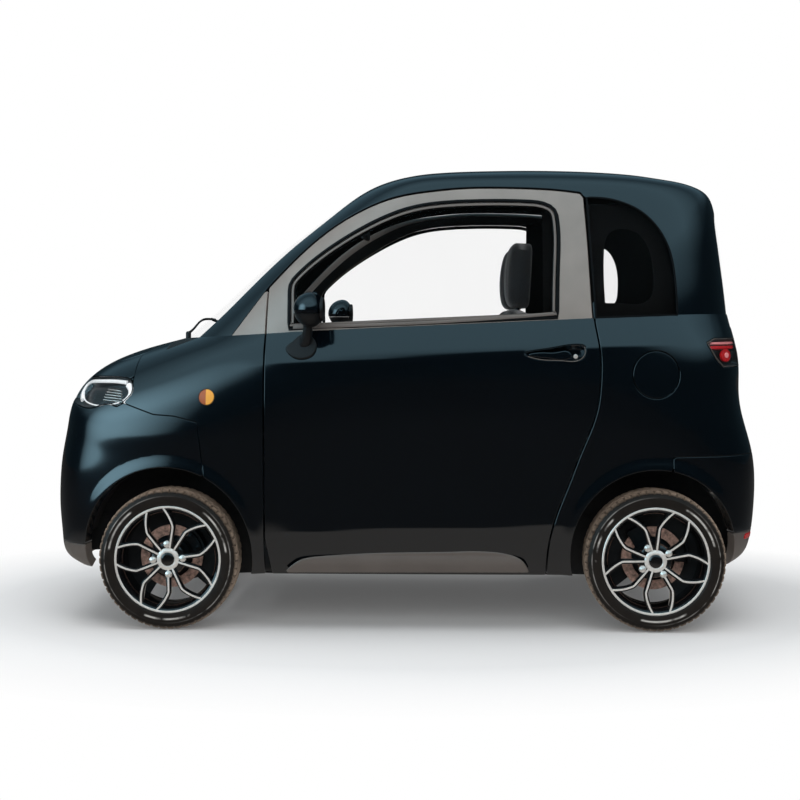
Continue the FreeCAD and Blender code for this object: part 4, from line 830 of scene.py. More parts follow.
# moulded lens: ribs as a product of two sines, a darker half ahead of splitX
def lensMaterial(name, colour, alpha, ribs=0.0, glow=0.0, splitX=9.0):
    g = Graph(name, IOR=1.49)
    grain = g.noise(40.0, 2.0)
    dark = g.axis("X").over(splitX, 0.002)
    g.feed("Base Color", g.mix(dark, g.mix(grain, tone(colour), tone(colour, 0.86)), tone("markerDark")))
    g.feed("Roughness", grain * 0.05 + 0.03)
    g.feed("Alpha", grain * 0.04 + alpha)
    if ribs:
        g.bump((g.axis("Z") * ribs).sine() * (g.axis("X") * ribs).sine(), 0.4, 0.001)
    if glow:
        g.shader.inputs["Emission Color"].default_value = tone(colour)
        g.shader.inputs["Emission Strength"].default_value = glow
    return g.material


# rubber: dust on the tread, thinner in the grooves, which darkens them as painted shade; pale painted highlights where
# the mesh gives glints
def rubberMaterial(name, colour):
    g = Graph(name, IOR=1.22)
    far = g.node("ShaderNodeAttribute", {"attribute_name": "dustAndPaintedLight"}, output=2)
    paintedGlints = g.node("ShaderNodeAttribute", {"attribute_name": "paintedGlints"}, output=2)
    film = (g.noise(28.0, 5.0, 0.6) * 1.1 + 0.10) * far
    dustAndGrooveShade = g.mix(film.over(0.0, 1.0), tone(colour), tone("dust"))
    g.feed("Base Color", g.mix(paintedGlints * g.noise(22.0, 3.0).over(0.35, 0.2), dustAndGrooveShade, tone("glintTone")))
    g.feed("Roughness", g.noise(60.0) * 0.20 + film.over(0.0, 1.0) * 0.4 + 0.26)
    g.bump(g.noise(1500.0, 2.0), 0.2, 0.0005)
    return g.material


# weave: product of two sines, with sheen
def clothMaterial(name, colour, count=520.0):
    g = Graph(name, Roughness=0.9)
    g.shader.inputs["Sheen Weight"].default_value = 0.35
    g.shader.inputs["Sheen Roughness"].default_value = 0.5
    warp = (g.axis("Y") * count).sine() * (g.axis("X") * count + g.axis("Z") * count).sine()
    tint = g.noise(5.0, 3.0)
    g.feed("Base Color", g.mix(warp * 0.5 + 0.3 + tint * 0.4, tone(colour, 0.8), tone(colour, 1.25)))
    g.bump(warp + g.noise(1800.0) * 0.6, 0.35, 0.0008)
    return g.material


# disc: patches of rust over bare metal
def rustMaterial():
    g = Graph("rustyDisc", Metallic=0.3)
    patch = g.noise(60.0, 5.0, 0.65)
    g.feed("Base Color", g.mix(patch.over(0.35, 0.3), tone("rust", 1.1), tone("rust", 0.55)))
    g.feed("Metallic", patch.over(0.4, 0.3) * -0.3 + 0.45)
    g.feed("Roughness", patch * 0.4 + 0.3)
    g.bump(patch, 0.3, 0.0008)
    return g.material


bodyPaint = paintMaterial()
innerPaint = plasticMaterial("innerPaint", "paint", 0.35, 0.5, by=1.6)
satinFrame = plasticMaterial("satinFrame", "satin", 0.30, 0.42, 2200.0, 0.05, Metallic=0.35, IOR=1.4)
satinTrim = plasticMaterial("satinTrim", "trim", 0.38, 0.5, 2200.0, 0.06, Metallic=0.3)
sealRubber = plasticMaterial("sealRubber", "seal", 0.45, 0.65, 900.0, 0.1, IOR=1.2)
blackPlastic = plasticMaterial("blackPlastic", "interior", 0.42, 0.6, 1100.0, 0.25, by=0.7, IOR=1.35)
interiorPlastic = plasticMaterial("interiorPlastic", "interior", 0.5, 0.68, 800.0, 0.35)
# cabin lining at 0.30 of the interior tone, near-black: painted shade for the inside of the roof and pillars
liningInPaintedShade = plasticMaterial("liningInPaintedShade", "interior", 0.8, 0.95, 1500.0, 0.3, by=0.30, IOR=1.1)
linerPlastic = plasticMaterial("linerPlastic", "liner", 0.6, 0.85, 300.0, 0.5)
chassisPaint = plasticMaterial("chassisPaint", "chassis", 0.45, 0.7, 160.0, 0.35)
darkSteel = metalMaterial("darkSteel", "steel", 0.35, 0.6, (200, 200, 200), 0.2)
windowGlass = glassMaterial("windowGlass", "glass", 0.025, 1.35)
privacyGlass = glassMaterial("privacyGlass", "glass", 0.04, 1.35)
clearLens = glassMaterial("clearLens", "lens", 0.07, 2.2)
plateWhite = plasticMaterial("plateWhite", "lens", 0.35, 0.5, 900.0, 0.1)
lightGuide = lensMaterial("lightGuide", "lens", 0.96, 900.0, 0.35)
pinkLens = lensMaterial("pinkLens", "pink", 0.96, 1100.0, 0.10)
redLens = lensMaterial("redLens", "red", 0.96, 1100.0, 0.12)
amberLens = lensMaterial("amberLens", "amber", 0.96, 1300.0, 0.0, splitX=0.665)
lampInside = plasticMaterial("lampInside", "lampDark", 0.25, 0.4)
brightMetal = metalMaterial("brightMetal", "machined", 0.14, 0.28, shine=0.6)
machinedFace = metalMaterial("machinedFace", "machined", 0.24, 0.36, (120, 120, 120), shine=0.35)
rimBlack = plasticMaterial("rimBlack", "rimBlack", 0.08, 0.18, 600.0, 0.03, Coat_Weight=0.6, Coat_IOR=1.3)
rustyDisc = rustMaterial()
tyreRubber = rubberMaterial("tyreRubber", "tyre")
seatCloth = clothMaterial("seatCloth", "cloth")
carpetPile = clothMaterial("carpetPile", "carpet", 800.0)
mirrorSilver = metalMaterial("mirrorSilver", "steel", 0.02, 0.04)
print("materials ready")

# nodes shown as the frame gives them
for material, nodeNames in (
        (chassisPaint, ("chassis_frame", "battery_pack")), (carpetPile, ("floor_pan",)), (seatCloth, ("seats",)),
        (darkSteel, ("rear_axle", "knuckle_left", "knuckle_right", "front_suspension")),
        (linerPlastic, ("wheel_arch_liners",)), (interiorPlastic, ("dashboard", "steering_wheel"))):
    for nodeName in nodeNames:
        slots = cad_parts[nodeName].data.materials
        slots.clear()
        slots.append(material)

# what a panel wears outside and inside, and its slot
looks = {
    "paint": ([bodyPaint, innerPaint], "body_paint"), "roof": ([bodyPaint, liningInPaintedShade], "body_paint"),
    "satin": ([satinTrim, blackPlastic], "trim_grey"), "slat": ([satinTrim, satinTrim], "trim_grey"),
    "plate": ([plateWhite, blackPlastic], "trim_grey"), "frame": ([satinFrame, blackPlastic], "frame_satin"),
    "black": ([blackPlastic, blackPlastic], "interior_plastic"),
    "lining": ([liningInPaintedShade, liningInPaintedShade], "interior_plastic"),
    "card": ([interiorPlastic, interiorPlastic], "interior_plastic"),
    "window": ([windowGlass, windowGlass], "window_glass"),
    "privacy": ([privacyGlass, privacyGlass], "window_glass"), "headLens": ([clearLens, clearLens], "lamp_clear"),
    "tailLens": ([clearLens, clearLens], "lamp_red"), "pink": ([pinkLens, lampInside], "lamp_red"),
    "red": ([redLens, lampInside], "lamp_red"), "reflector": ([redLens, redLens], "lamp_red"),
}
# body panels: depths are those of the real skins, doors and lids; the small gaps lie round pieces set in others
shell = {
    "roll": 0.0022, "fixedDepth": 0.030, "doorDepth": 0.040, "lidDepth": 0.022, "frameDepth": 0.038,
    "lampGap": 0.001, "seam": 0.0012, "lipGap": 0.0008, "glassGap": 0.0006, "flapGap": 0.003,
    "frontLipTop": 0.277, "rearLipTop": 0.327, "cowlHalf": 0.520, "cowlLow": 0.875, "cowlFrontX": 0.670,
    "headLampFromY": 0.330, "tailLampFromY": 0.410, "rearBumperX": -0.917, "backFromX": -0.62,
    "trimX": (-0.481, -1.105), "trimTopZ": 1.475, "trimFromY": 0.40, "trimLift": -0.044,
    "cardLift": -0.0405, "cardInset": 0.020, "cardLowZ": 0.290,
}
fixedSheet = {"roll": shell["roll"], "depth": shell["fixedDepth"]}
doorZone = leftSide(doorLower)
handleZone = sideShape(smoothOutline([
    (-0.412, 0.944), (-0.440, 0.930), (-0.500, 0.922), (-0.570, 0.921), (-0.609, 0.928), (-0.620, 0.950),
    (-0.617, 0.972), (-0.600, 0.977), (-0.540, 0.972), (-0.470, 0.960)], []))
headLampZone = within(sideShape(headLampLine), outside(shell["headLampFromY"]))
tailLampZone = within(sideShape(tailLampLine), outside(shell["tailLampFromY"]))
headLampCut, hoodCut, hatchCut = grown(headLampZone, shell["lampGap"]), grown(hoodZone, gap), grown(hatchZone, gap)
behindHood = within(behind(hoodRearX - gap), above(shell["cowlLow"]))
cowlPart = within(behindHood, lambda p: np.abs(p[..., 1]) - shell["cowlHalf"])
panel("doorSkinLeft", lowerSkin, without(doorZone, handleZone), "paint", "door_left", ("door_left",), True,
      spacing=0.013, roll=shell["roll"], depth=shell["doorDepth"])
fenderRegion = without(within(leftSide(fenderZone), aheadOf(doorFrontX + gap)), frontArch, headLampCut, hoodCut,
                       cowlPart)
panel("fenderLeft", lowerSkin, fenderRegion, "paint", "body", ("front_fender_left",), True, spacing=0.013, **fixedSheet)
bumperRegion = without(within(aheadOf(doorFrontX + gap), above(0.0)), grown(sideShape(fenderZone), shell["seam"]),
                       frontArch, headLampCut, hoodCut, lambda p: headLampCut(p * [1, -1, 1]), behindHood)
panel("frontBumperLip", lowerSkin, within(bumperRegion, below(shell["frontLipTop"] - shell["lipGap"])), "satin", "body",
      spacing=0.011, **fixedSheet)
panel("frontBumperSkin", lowerSkin, without(bumperRegion, below(shell["frontLipTop"] + shell["lipGap"])), "paint",
      "body", ("front_bumper",), spacing=0.015, **fixedSheet)
panel("hoodSkin", lowerSkin, hoodZone, "paint", "hood", ("hood",), spacing=0.014, roll=0.003, depth=shell["lidDepth"])
panel("cowlPanel", lowerSkin, within(cowlPart, aheadOf(shell["cowlFrontX"])), "black", "body", ("cowl_and_wipers",),
      spacing=0.011, roll=0.002, depth=0.020)
flapZone = sideCircle(flapX, flapZ, flapR)
rearBumperZone = within(behind(shell["rearBumperX"]), below(hatchLowZ - gap))
quarterRegion = without(within(behind(doorRearX + 0.200), onLeft), grown(sideShape(doorLower), gap), rearArch, hatchCut,
                        grown(tailLampZone, shell["lampGap"]), grown(rearBumperZone, shell["seam"]))
panel("quarterLeft", lowerSkin, without(quarterRegion, grown(flapZone, shell["flapGap"])), "paint", "body",
      ("rear_quarter_left",), spacing=0.013, **fixedSheet)
panel("chargeFlap", lowerSkin, within(flapZone, onLeft), "paint", "charge_flap", ("charge_flap",), spacing=0.007,
      roll=0.002, depth=0.006)
quarterRight = panelMesh("quarterRight", panelArrays(lowerSkin, quarterRegion, 0.010, **fixedSheet), True)
addPiece("quarterRight", quarterRight, "body", *looks["paint"], ("rear_quarter_right",))
rearBumperRegion = without(rearBumperZone, rearArch, hatchCut)
panel("rearBumperSkin", lowerSkin, without(rearBumperRegion, below(shell["rearLipTop"] + shell["lipGap"])), "paint",
      "body", ("rear_bumper",), spacing=0.015, **fixedSheet)
panel("rearBumperLip", lowerSkin, within(rearBumperRegion, below(shell["rearLipTop"] - shell["lipGap"])), "satin",
      "body", spacing=0.011, **fixedSheet)
panel("tailgateSkin", lowerSkin, hatchZone, "paint", "tailgate", ("tailgate",), spacing=0.014, **fixedSheet)
panel("doorFrameLeft", upperSkin, without(leftSide(doorUpper), sideShape(windowLine)), "frame", "door_left",
      ("door_frame_left",), True, spacing=0.011, roll=0.003, depth=shell["frameDepth"])
panel("doorGlassLeft", upperSkin, grown(leftSide(windowLine), -0.001), "window", "door_left", ("door_glass_left",),
      True, spacing=0.016, roll=0.001, depth=0.004, lift=-0.0015)
panel("sailLeft", upperSkin, leftSide(sailLine), "frame", "body", ("sail_panels",), True, spacing=0.008, roll=0.002,
      depth=0.020)
screenZone = within(frontShape(screenOutline), aheadOf(car["widestX"]))
backZone = within(frontShape(hatchLine), behind(shell["backFromX"]))
fixedParts = sideShape(quarterLine), screenZone, sideShape(sailLine)
roofRegion = without(above(0.0), grown(sideShape(doorUpper), gap), grown(backZone, gap),
                     *[grown(zone, shell["glassGap"]) for zone in fixedParts])
panel("roofShell", upperSkin, roofRegion, "roof", "body", ("roof_and_pillars", "roof_panel"), spacing=0.018, roll=0.002,
      depth=0.018)
panel("windscreen", upperSkin, screenZone, "window", "body", ("fixed_glass",), spacing=0.024, roll=0.001, depth=0.005,
      lift=-0.0012)
panel("quarterGlassLeft", upperSkin, leftSide(quarterLine), "privacy", "body", (), True, spacing=0.014, roll=0.001,
      depth=0.004, lift=-0.0012)
trimOpening = smoothOutline([
    (-0.698, 1.125), (-0.697, 1.300), (-0.720, 1.372), (-0.775, 1.384), (-0.825, 1.366), (-0.859, 1.317),
    (-0.872, 1.270), (-0.875, 1.190), (-0.866, 1.148), (-0.842, 1.128), (-0.770, 1.123)], [0])
trimZone = within(behind(shell["trimX"][0]), aheadOf(shell["trimX"][1]), below(shell["trimTopZ"]),
                  outside(shell["trimFromY"]))
# near-black trims inside the rear pillars: their darkness is painted shade
panel("pillarTrimLeft", upperSkin, without(trimZone, sideShape(trimOpening)), "lining", "body", (), True, spacing=0.014,
      roll=0.002, depth=0.005, lift=shell["trimLift"])
panel("rearWindow", upperSkin, backZone, "privacy", "tailgate", ("rear_glass",), spacing=0.014, roll=0.002, depth=0.005,
      lift=-0.0005)
lensSize = {"spacing": 0.008, "roll": 0.002, "depth": 0.004}
panel("headLensLeft", lowerSkin, headLampZone, "headLens", "body", ("head_lamps",), True, **lensSize)
panel("tailLensLeft", lowerSkin, tailLampZone, "tailLens", "body", ("tail_lamps",), True, **lensSize)
print("panels ready")

wheel = {
    "lipR": 0.179, "faceY": 0.681, "outY": 0.695, "hubR": 0.036, "nutCircle": 0.0515, "nutR": 0.0125,
    "discR": 0.108, "discY": 0.588, "pitches": 56, "grooveDeep": 0.0055,
}


# tyre section: a closed curve of (radius, offset from the middle), bead to bead over the tread and back inside
def tyreSection():
    half = car["tyreW"] / 2
    r = car["tyreR"]
    right = [(0.1655, half - 0.016), (0.1790, half - 0.0125), (0.1835, half - 0.0060), (0.1970, half - 0.0010),
             (0.2090, half), (0.2190, half - 0.0015), (0.2285, half - 0.0065), (0.2345, half - 0.0125),
             (0.2380, half - 0.0200), (r - 0.0012, half - 0.0340), (r - 0.0004, 0.0200)]
    line = right + [(q, -y) for q, y in reversed(right)]
    inner = [(0.1720, -half + 0.024), (0.1990, -half + 0.013), (0.2200, -half + 0.020), (0.2270, -half + 0.045),
             (0.2270, half - 0.045), (0.2200, half - 0.020), (0.1990, half - 0.013), (0.1720, half - 0.024)]
    outline = smoothOutline(line + inner, [0, len(line) - 1], 8)
    seen = 8 * len(line)
    return np.concatenate([outline[:seen], outline[seen::4]])


# tread: radius less depth * groove, the grooves round |y| = 14 and 41 mm and bars across that lean with y
def tyreParts(centreY, phase):
    section = tyreSection()
    around = 5 * wheel["pitches"]
    a = np.linspace(0, 2 * math.pi, around, endpoint=False)[:, None]
    r, y = section[None, :, 0], section[None, :, 1]
    outside = smoothStep((r - 0.2275) / 0.003)
    width = np.abs(y)
    rings = np.exp(-((width - 0.014) / 0.0032) ** 4) + np.exp(-((width - 0.041) / 0.0030) ** 4)
    pitch = a * wheel["pitches"] / (2 * math.pi) + phase
    lean = np.where(width > 0.041, 0.10 * np.sin(y * 60), y * 22)
    bars = (np.mod(pitch + lean, 1.0) < 0.26) * smoothStep((width - 0.044) / 0.002)
    cuts = (np.mod(pitch + lean + 0.5, 1.0) < 0.16) * smoothStep((0.038 - width) / 0.004) * (width > 0.017)
    groove = np.maximum(np.maximum(np.clip(rings, 0, 1), bars), cuts)
    shoulder = smoothStep((0.2345 - r) / 0.004)
    groove = groove * outside * (1 - 0.35 * shoulder)
    rib = 0.0011 * np.exp(-((r - 0.2165) / 0.0012) ** 2) + 0.0009 * np.exp(-((r - 0.1880) / 0.0010) ** 2)
    arcs = smoothStep((np.sin(a * 3 + phase) - 0.35) / 0.1) * np.exp(-((r - 0.2030) / 0.0030) ** 4) * 0.0008
    sideways = (rib + arcs) * np.sign(y) * (r > 0.18) * (r < 0.225)
    radius = r - wheel["grooveDeep"] * groove
    y2 = y + sideways - np.sign(y) * 0.0022 * groove * shoulder
    points = np.stack([radius * np.cos(a), np.broadcast_to(y2 + centreY, radius.shape), radius * np.sin(a)], -1)
    # dust on the tread face, less of it in the grooves: the darker grooves are painted shade
    film = np.clip((r - 0.229) / 0.009, 0, 1) * (1.0 - 0.55 * groove) + 0.02
    dustAndPaintedLight = np.broadcast_to(film, radius.shape)
    # painted highlights: pale on the raised arcs and along the rib at 216.5 mm, stronger at some angles round the tyre
    glintShare = arcs / 0.0008 * 0.8 + np.exp(-((r - 0.2165) / 0.0012) ** 2) * (0.35 + 0.35 * np.sin(a * 2 + 1.0))
    paintedGlints = np.broadcast_to(np.clip(glintShare, 0, 1), radius.shape)
    faces = gridFaces(around, section.shape[0], True, True)
    return points.reshape(-1, 3), [faces], {"dustAndPaintedLight": dustAndPaintedLight.ravel(), "paintedGlints": paintedGlints.ravel()}


def polar(r, degrees, y):  # (r cos a, y, r sin a)
    a = np.radians(degrees)
    return np.stack([r * np.cos(a), np.broadcast_to(y, np.shape(r * np.cos(a))), r * np.sin(a)], -1)


# one branch of a Y spoke: 12 degrees off its stem to the knee, then a ramp to 25, rounded by (w + sqrt(w^2 + c)) / 2
def spokePath(angle, side, y0, y1, end=0.169, steps=34):
    reachOut = np.linspace(0, 1, steps)
    r = 0.030 + (end - 0.030) * reachOut
    ramp = (r - 0.112) / 0.057
    off = 12.0 + 13.0 * 0.5 * (ramp + np.sqrt(ramp ** 2 + 0.002))
    bow = y0 + (y1 - y0) * reachOut + 0.006 * np.sin(math.pi * reachOut)
    return polar(r, angle + side * off, bow), reachOut


# rim: turned barrel and lip, five stems that each part in two, hub and collar; black parts, bright parts and cap
def wheelParts(phase):
    face = wheel["faceY"]
    axis = (0, 1, 0)
    black, bright = [], []
    outer = wheel["outY"]
    lip = wheel["lipR"]
    barrel = [(lip - 0.003, outer - 0.007), (lip - 0.009, outer - 0.009), (0.162, outer - 0.020),
              (0.157, outer - 0.045), (0.156, 0.600), (0.158, 0.560), (0.172, 0.548), (lip, 0.545), (lip, 0.541),
              (0.166, 0.541), (0.163, 0.560), (0.163, 0.600), (0.165, outer - 0.030), (0.170, outer - 0.014),
              (lip, outer - 0.010)]
    black.append(turned(barrel, (0, 0, 0), axis, 96, True))
    ringShape = [(lip + 0.0035, outer - 0.0085), (lip + 0.0040, outer - 0.0060), (lip + 0.0015, outer - 0.0045),
                 (lip - 0.0020, outer - 0.0052), (lip - 0.0040, outer - 0.0075), (lip - 0.0020, outer - 0.0110)]
    bright.append(turned(ringShape, (0, 0, 0), axis, 128, True))
    for k in range(5):
        angle = phase + 72 * k
        for side in (-1, 1):
            path, share = spokePath(angle, side, face - 0.0155, outer - 0.022)
            width = 1.0 + 0.35 * (1 - share) ** 2 + 0.25 * share ** 4
            section = roundedBox(0.0080, 0.0115, 5.0, 16) * np.stack([width, np.ones_like(width)], -1)[:, None, :]
            black.append(sweep(path, (0, 1, 0), section))
            path = spokePath(angle, side, face - 0.0005, outer - 0.0075, 0.1755)[0][1:]
            bright.append(sweep(path, (0, 1, 0), roundedBox(0.0031, 0.0014, 5.0, 12)))
        web = polar(np.array([0.030, 0.045, 0.062]), np.array([angle] * 3), face - 0.016)
        black.append(sweep(web, (0, 1, 0), roundedBox(0.018, 0.008, 5.0, 16), scale=np.array([1.0, 0.85, 0.55])))
    hub = [(0.0, face - 0.060), (0.058, face - 0.060), (0.060, face - 0.026), (0.056, face - 0.012),
           (0.046, face - 0.007), (0.0, face - 0.007)]
    black.append(turned(hub, (0, 0, 0), axis, 72))
    collar = [(0.0225, face - 0.009), (wheel["hubR"] + 0.003, face - 0.009), (wheel["hubR"] + 0.002, face - 0.001),
              (wheel["hubR"] - 0.003, face + 0.0022), (0.0260, face + 0.0030), (0.0225, face + 0.001)]
    bright.append(turned(collar, (0, 0, 0), axis, 64, True))
    cap = [(0.0, face - 0.010), (0.0225, face - 0.010), (0.0225, face + 0.003), (0.0205, face + 0.0052),
           (0.0160, face + 0.0062), (0.0, face + 0.0068)]
    return black, bright, turned(cap, (0, 0, 0), axis, 48)


# four nuts on a circle, each a turned dome
def nutParts(phase):
    parts = []
    face = wheel["faceY"]
    for k in range(4):
        a = math.radians(phase + 65 + 90 * k)
        place = (wheel["nutCircle"] * math.cos(a), 0, wheel["nutCircle"] * math.sin(a))
        dome = [(0.0, face - 0.010), (wheel["nutR"], face - 0.010), (wheel["nutR"], face + 0.0005),
                (wheel["nutR"] - 0.0012, face + 0.0030), (0.0092, face + 0.0042), (0.0086, face + 0.0078),
                (0.0050, face + 0.0100), (0.0, face + 0.0106)]
        parts.append(turned(dome, place, (0, 1, 0), 24))
    return parts


# vented disc: two plates round a row of vanes, and a hat over the hub
def discParts():
    y, r = wheel["discY"], wheel["discR"]
    parts = [turned([(0.066, y), (r, y), (r, y + 0.0035), (0.066, y + 0.0035)], (0, 0, 0), (0, 1, 0), 96, True),
             turned([(0.066, y + 0.0065), (r, y + 0.0065), (r, y + 0.010), (0.066, y + 0.010)], (0, 0, 0), (0, 1, 0),
                    96, True)]
    for k in range(30):
        parts.append(sweep(polar(np.array([0.070, r - 0.003]), np.array([12.0 * k, 12.0 * k + 6]), y + 0.005),
                           (0, 1, 0), roundedBox(0.0018, 0.0022, 4.0, 8)))
    return parts


def shifted(parts, x, mirror):  # joined, at an axle, and turned over for the right side
    points, faces = joined(parts)
    points = points + [x, 0, car["tyreR"]]
    return mirroredSet((points, faces)) if mirror else (points, faces)


# brake: hat profile, shield, each pad or bridge of the caliper as radius, offset and half sizes, and its pins
brake = {
    "hat": [(0.030, 0.590), (0.074, 0.590), (0.074, 0.610), (0.066, 0.618), (0.030, 0.619)],
    "shieldR": 0.1110, "shieldY": 0.5735, "shieldHalf": (0.0470, 0.0012), "shieldArc": (-60, 222),
    "pads": ((0.0930, 0.6135, 0.0190, 0.0085), (0.0930, 0.5800, 0.0190, 0.0045), (0.1195, 0.5975, 0.0070, 0.0245)),
    "padArc": (128, 166), "pinR": 0.100, "pinsAt": (134, 160), "rearTurn": 20,
    "pin": [(0.0, 0.600), (0.0085, 0.600), (0.0085, 0.6255), (0.0060, 0.6275), (0.0, 0.6280)],
}
for end, x, phase in (("front", car["frontAxleX"], 180 - 68.4), ("rear", car["rearAxleX"], 180 - 96.0)):
    tyrePoints, tyreFaces, dustAndPaintedLight = tyreParts(car["track"] / 2, 0.0 if end == "front" else 0.4)
    black, bright, cap = wheelParts(phase)
    turnBy = 0 if end == "front" else brake["rearTurn"]
    hat = turned(brake["hat"], (0, 0, 0), (0, 1, 0), 72, True)
    shield = sweep(polar(brake["shieldR"], np.linspace(*brake["shieldArc"], 72) + turnBy, brake["shieldY"]), (0, 1, 0),
                   roundedBox(*brake["shieldHalf"], 8.0, 20))
    pads = [sweep(polar(r, np.linspace(*brake["padArc"], 12) + turnBy, y), (0, 1, 0), roundedBox(wide, deep, 5.0, 16))
            for r, y, wide, deep in brake["pads"]]
    for at in brake["pinsAt"]:
        place = polar(np.array([brake["pinR"]]), np.array([at + turnBy]), 0.0)[0]
        pads.append(turned(brake["pin"], place, (0, 1, 0), 16))
    for side, mirror in (("left", False), ("right", True)):
        body = "wheel_" + end + "_" + side
        carrier = "knuckle_" + side if end == "front" else "body"
        label = end.capitalize() + side.capitalize()
        tyre = pieceFrom("tyre" + label, shifted([(tyrePoints, tyreFaces)], x, mirror), body, tyreRubber, "tyre_black",
                         ("tyre_" + end + "_" + side,), 40)
        for key, values in dustAndPaintedLight.items():
            tyre.data.attributes.new(key, "FLOAT", "POINT").data.foreach_set("value", values.astype(np.float32))
        for name, parts, ridden, material, slotName, replaced, sharp in (
                ("rim", black, body, rimBlack, "rim_black", ("rim_" + end + "_" + side,), 32),
                ("rimFace", bright, body, machinedFace, "rim_black", (), 30),
                ("hubCap", [cap], body, rimBlack, "rim_black", (), 40),
                ("nuts", nutParts(phase), body, brightMetal, "steel_dark", (), 28),
                ("disc", discParts(), body, rustyDisc, "steel_dark", (), 30),
                ("discHat", [hat], body, darkSteel, "steel_dark", (), 30),
                ("dustShield", [shield], carrier, linerPlastic, "steel_dark", (), 35),
                ("caliper", pads, carrier, darkSteel, "steel_dark", (), 35)):
            pieceFrom(name + label, shifted(parts, x, mirror), ridden, material, slotName, replaced, sharp)
print("wheels ready")

# open bowl below a region and its mirror image: walls from near to far under the surface and a floor at far
def bowl(name, region, near, far, material, slotName, body, spacing=0.007):
    t, s, faces = cutSheet(lowerSkin, region, spacing, 0.0)
    n = normalOf(lowerSkin, t, s)
    p = lowerSkin(t, s)
    rim = rimEdges(faces, len(p))
    edge, back = np.unique(rim, return_inverse=True)
    back = back.reshape(rim.shape)
    sink = near + (far - near) * smoothStep(-region(p) / max(0.6 * (far - near), 0.004))
    floor = p - n * sink[:, None]
    lip = p[edge] - n[edge] * near * 0.2
    walls = np.stack([back[:, 1] + len(p), back[:, 0] + len(p), rim[:, 0], rim[:, 1]], -1)
    parts = np.concatenate([floor, lip]), [faces, walls]
    for name, parts, body in ((name, parts, body), (otherSide(name), mirroredSet(parts), otherSide(body))):
        solid = pieceFrom(name, parts, body, material, slotName, sharp=50).modifiers.new("thickness", "SOLIDIFY")
        solid.thickness = 0.0015
        solid.offset = -1


# rod that follows a skin on both sides: side-view points, lifted off it, with the skin's normals as up
def skinRod(name, skin, line, lift, section, material, slotName, body, closed=False):
    line = np.array(line, float)
    if not closed:
        line = splineThrough(line)(np.linspace(0, 1, 40))
    p, n = skinAt(skin, line[:, 0], line[:, 1], lift)
    bothSides(body, (name, sweep(p, n, section, closed), material, slotName, (), 35))


# lamp: how far its inside lies below the lens, its light guides (line, radius), fins and projectors (x, z, radius)
lamp = {
    "inset": 0.002, "near": 0.004, "deep": 0.030, "tailDeep": 0.024, "guideDeep": 0.010, "spotDeep": 0.024,
    "guides": (
        ([(0.965, 0.848), (1.000, 0.8515), (1.050, 0.8520), (1.100, 0.8500), (1.140, 0.8430), (1.158, 0.8300),
          (1.1605, 0.8130), (1.1570, 0.7960), (1.1460, 0.7820)], 0.0080),
        ([(0.958, 0.840), (0.9455, 0.824), (0.9440, 0.806), (0.953, 0.790), (0.966, 0.779)], 0.0108),
        ([(1.150, 0.808), (1.135, 0.785), (1.105, 0.772), (1.060, 0.766), (1.010, 0.772), (0.985, 0.778)], 0.0026)),
    "fins": 5, "finZ": 0.783, "finStep": 0.0098, "spots": ((1.104, 0.808, 0.0195), (1.137, 0.822, 0.0110)),
}
bowl("headLampBowlLeft", grown(headLampZone, -lamp["inset"]), lamp["near"], lamp["deep"], lampInside, "lamp_clear",
     "body")
for k, (line, size) in enumerate(lamp["guides"]):
    skinRod("lightGuideLeft" + str(k), lowerSkin, line, -lamp["guideDeep"], circle(size, 14, 0.6), lightGuide,
            "lamp_clear", "body")
fins = []
for k in range(lamp["fins"]):
    z = lamp["finZ"] + lamp["finStep"] * k
    line = np.array([(0.974 + 0.003 * k, z - 0.002), (1.010, z + 0.001), (1.050 - 0.002 * k, z + 0.004)])
    p, n = skinAt(lowerSkin, *splineThrough(line)(np.linspace(0, 1, 16)).T, -0.012 - 0.0012 * k)
    fins.append(sweep(p, n, roundedBox(0.0013, 0.0045, 4.0, 10)))
bothSides("body", ("lampFinsLeft", joined(fins), brightMetal, "lamp_clear", (), 35))
spots = []
for x, z, r in lamp["spots"]:
    p, n = skinAt(lowerSkin, x, z, -lamp["spotDeep"])
    bulb = [(r * 1.18, -0.004), (r * 1.18, 0.005), (r * 1.04, 0.007), (r * 0.98, 0.004), (r * 0.72, 0.0075),
            (r * 0.40, 0.0100), (0.0, 0.0110)]
    spots.append(turned(bulb, p[0], n[0], 36))
bothSides("body", ("projectorsLeft", joined(spots), clearLens, "lamp_clear", (), 35))

bowl("tailLampBowlLeft", grown(tailLampZone, -lamp["inset"]), lamp["near"], lamp["tailDeep"], lampInside, "lamp_red",
     "body")
upperBar = smoothOutline([(-1.068, 0.986), (-1.172, 0.986), (-1.172, 0.978), (-1.060, 0.978)])
lowerBar = smoothOutline([(-1.055, 0.973), (-1.170, 0.973), (-1.170, 0.962), (-1.058, 0.962)])
for k, (zone, look, lift) in enumerate((
        (sideShape(upperBar), "pink", -0.0060), (sideShape(lowerBar), "red", -0.0070),
        (sideCircle(-1.125, 0.9390, 0.0220), "red", -0.0060), (sideCircle(-1.125, 0.9390, 0.0095), "pink", -0.0035))):
    panel("tailUnitLeft" + str(k), lowerSkin, within(zone, onLeft), look, "body", (), True, spacing=0.005, roll=0.0015,
          depth=0.008, lift=lift)
skinRod("tailLampRimLeft", lowerSkin, insetLine(tailLampLine, 0.002)[::2], 0.0004, circle(0.0014, 8), satinTrim,
        "lamp_red", "body", True)
p, n = skinAt(lowerSkin, 0.664, 0.797, 0.0)
dome = [(0.0, -0.006), (0.0262, -0.006), (0.0270, 0.0010), (0.0252, 0.0032), (0.0170, 0.0046), (0.0, 0.0050)]
ring = [(0.0262, -0.004), (0.0285, -0.004), (0.0287, 0.0012), (0.0275, 0.0022), (0.0264, 0.0015)]
bothSides("body", ("markerLeft", turned(dome, p[0], n[0], 48), amberLens, "lamp_amber", ("side_markers",), 35),
          ("markerRingLeft", turned(ring, p[0], n[0], 48, True), blackPlastic, "trim_grey", (), 35))
print("lamps ready")

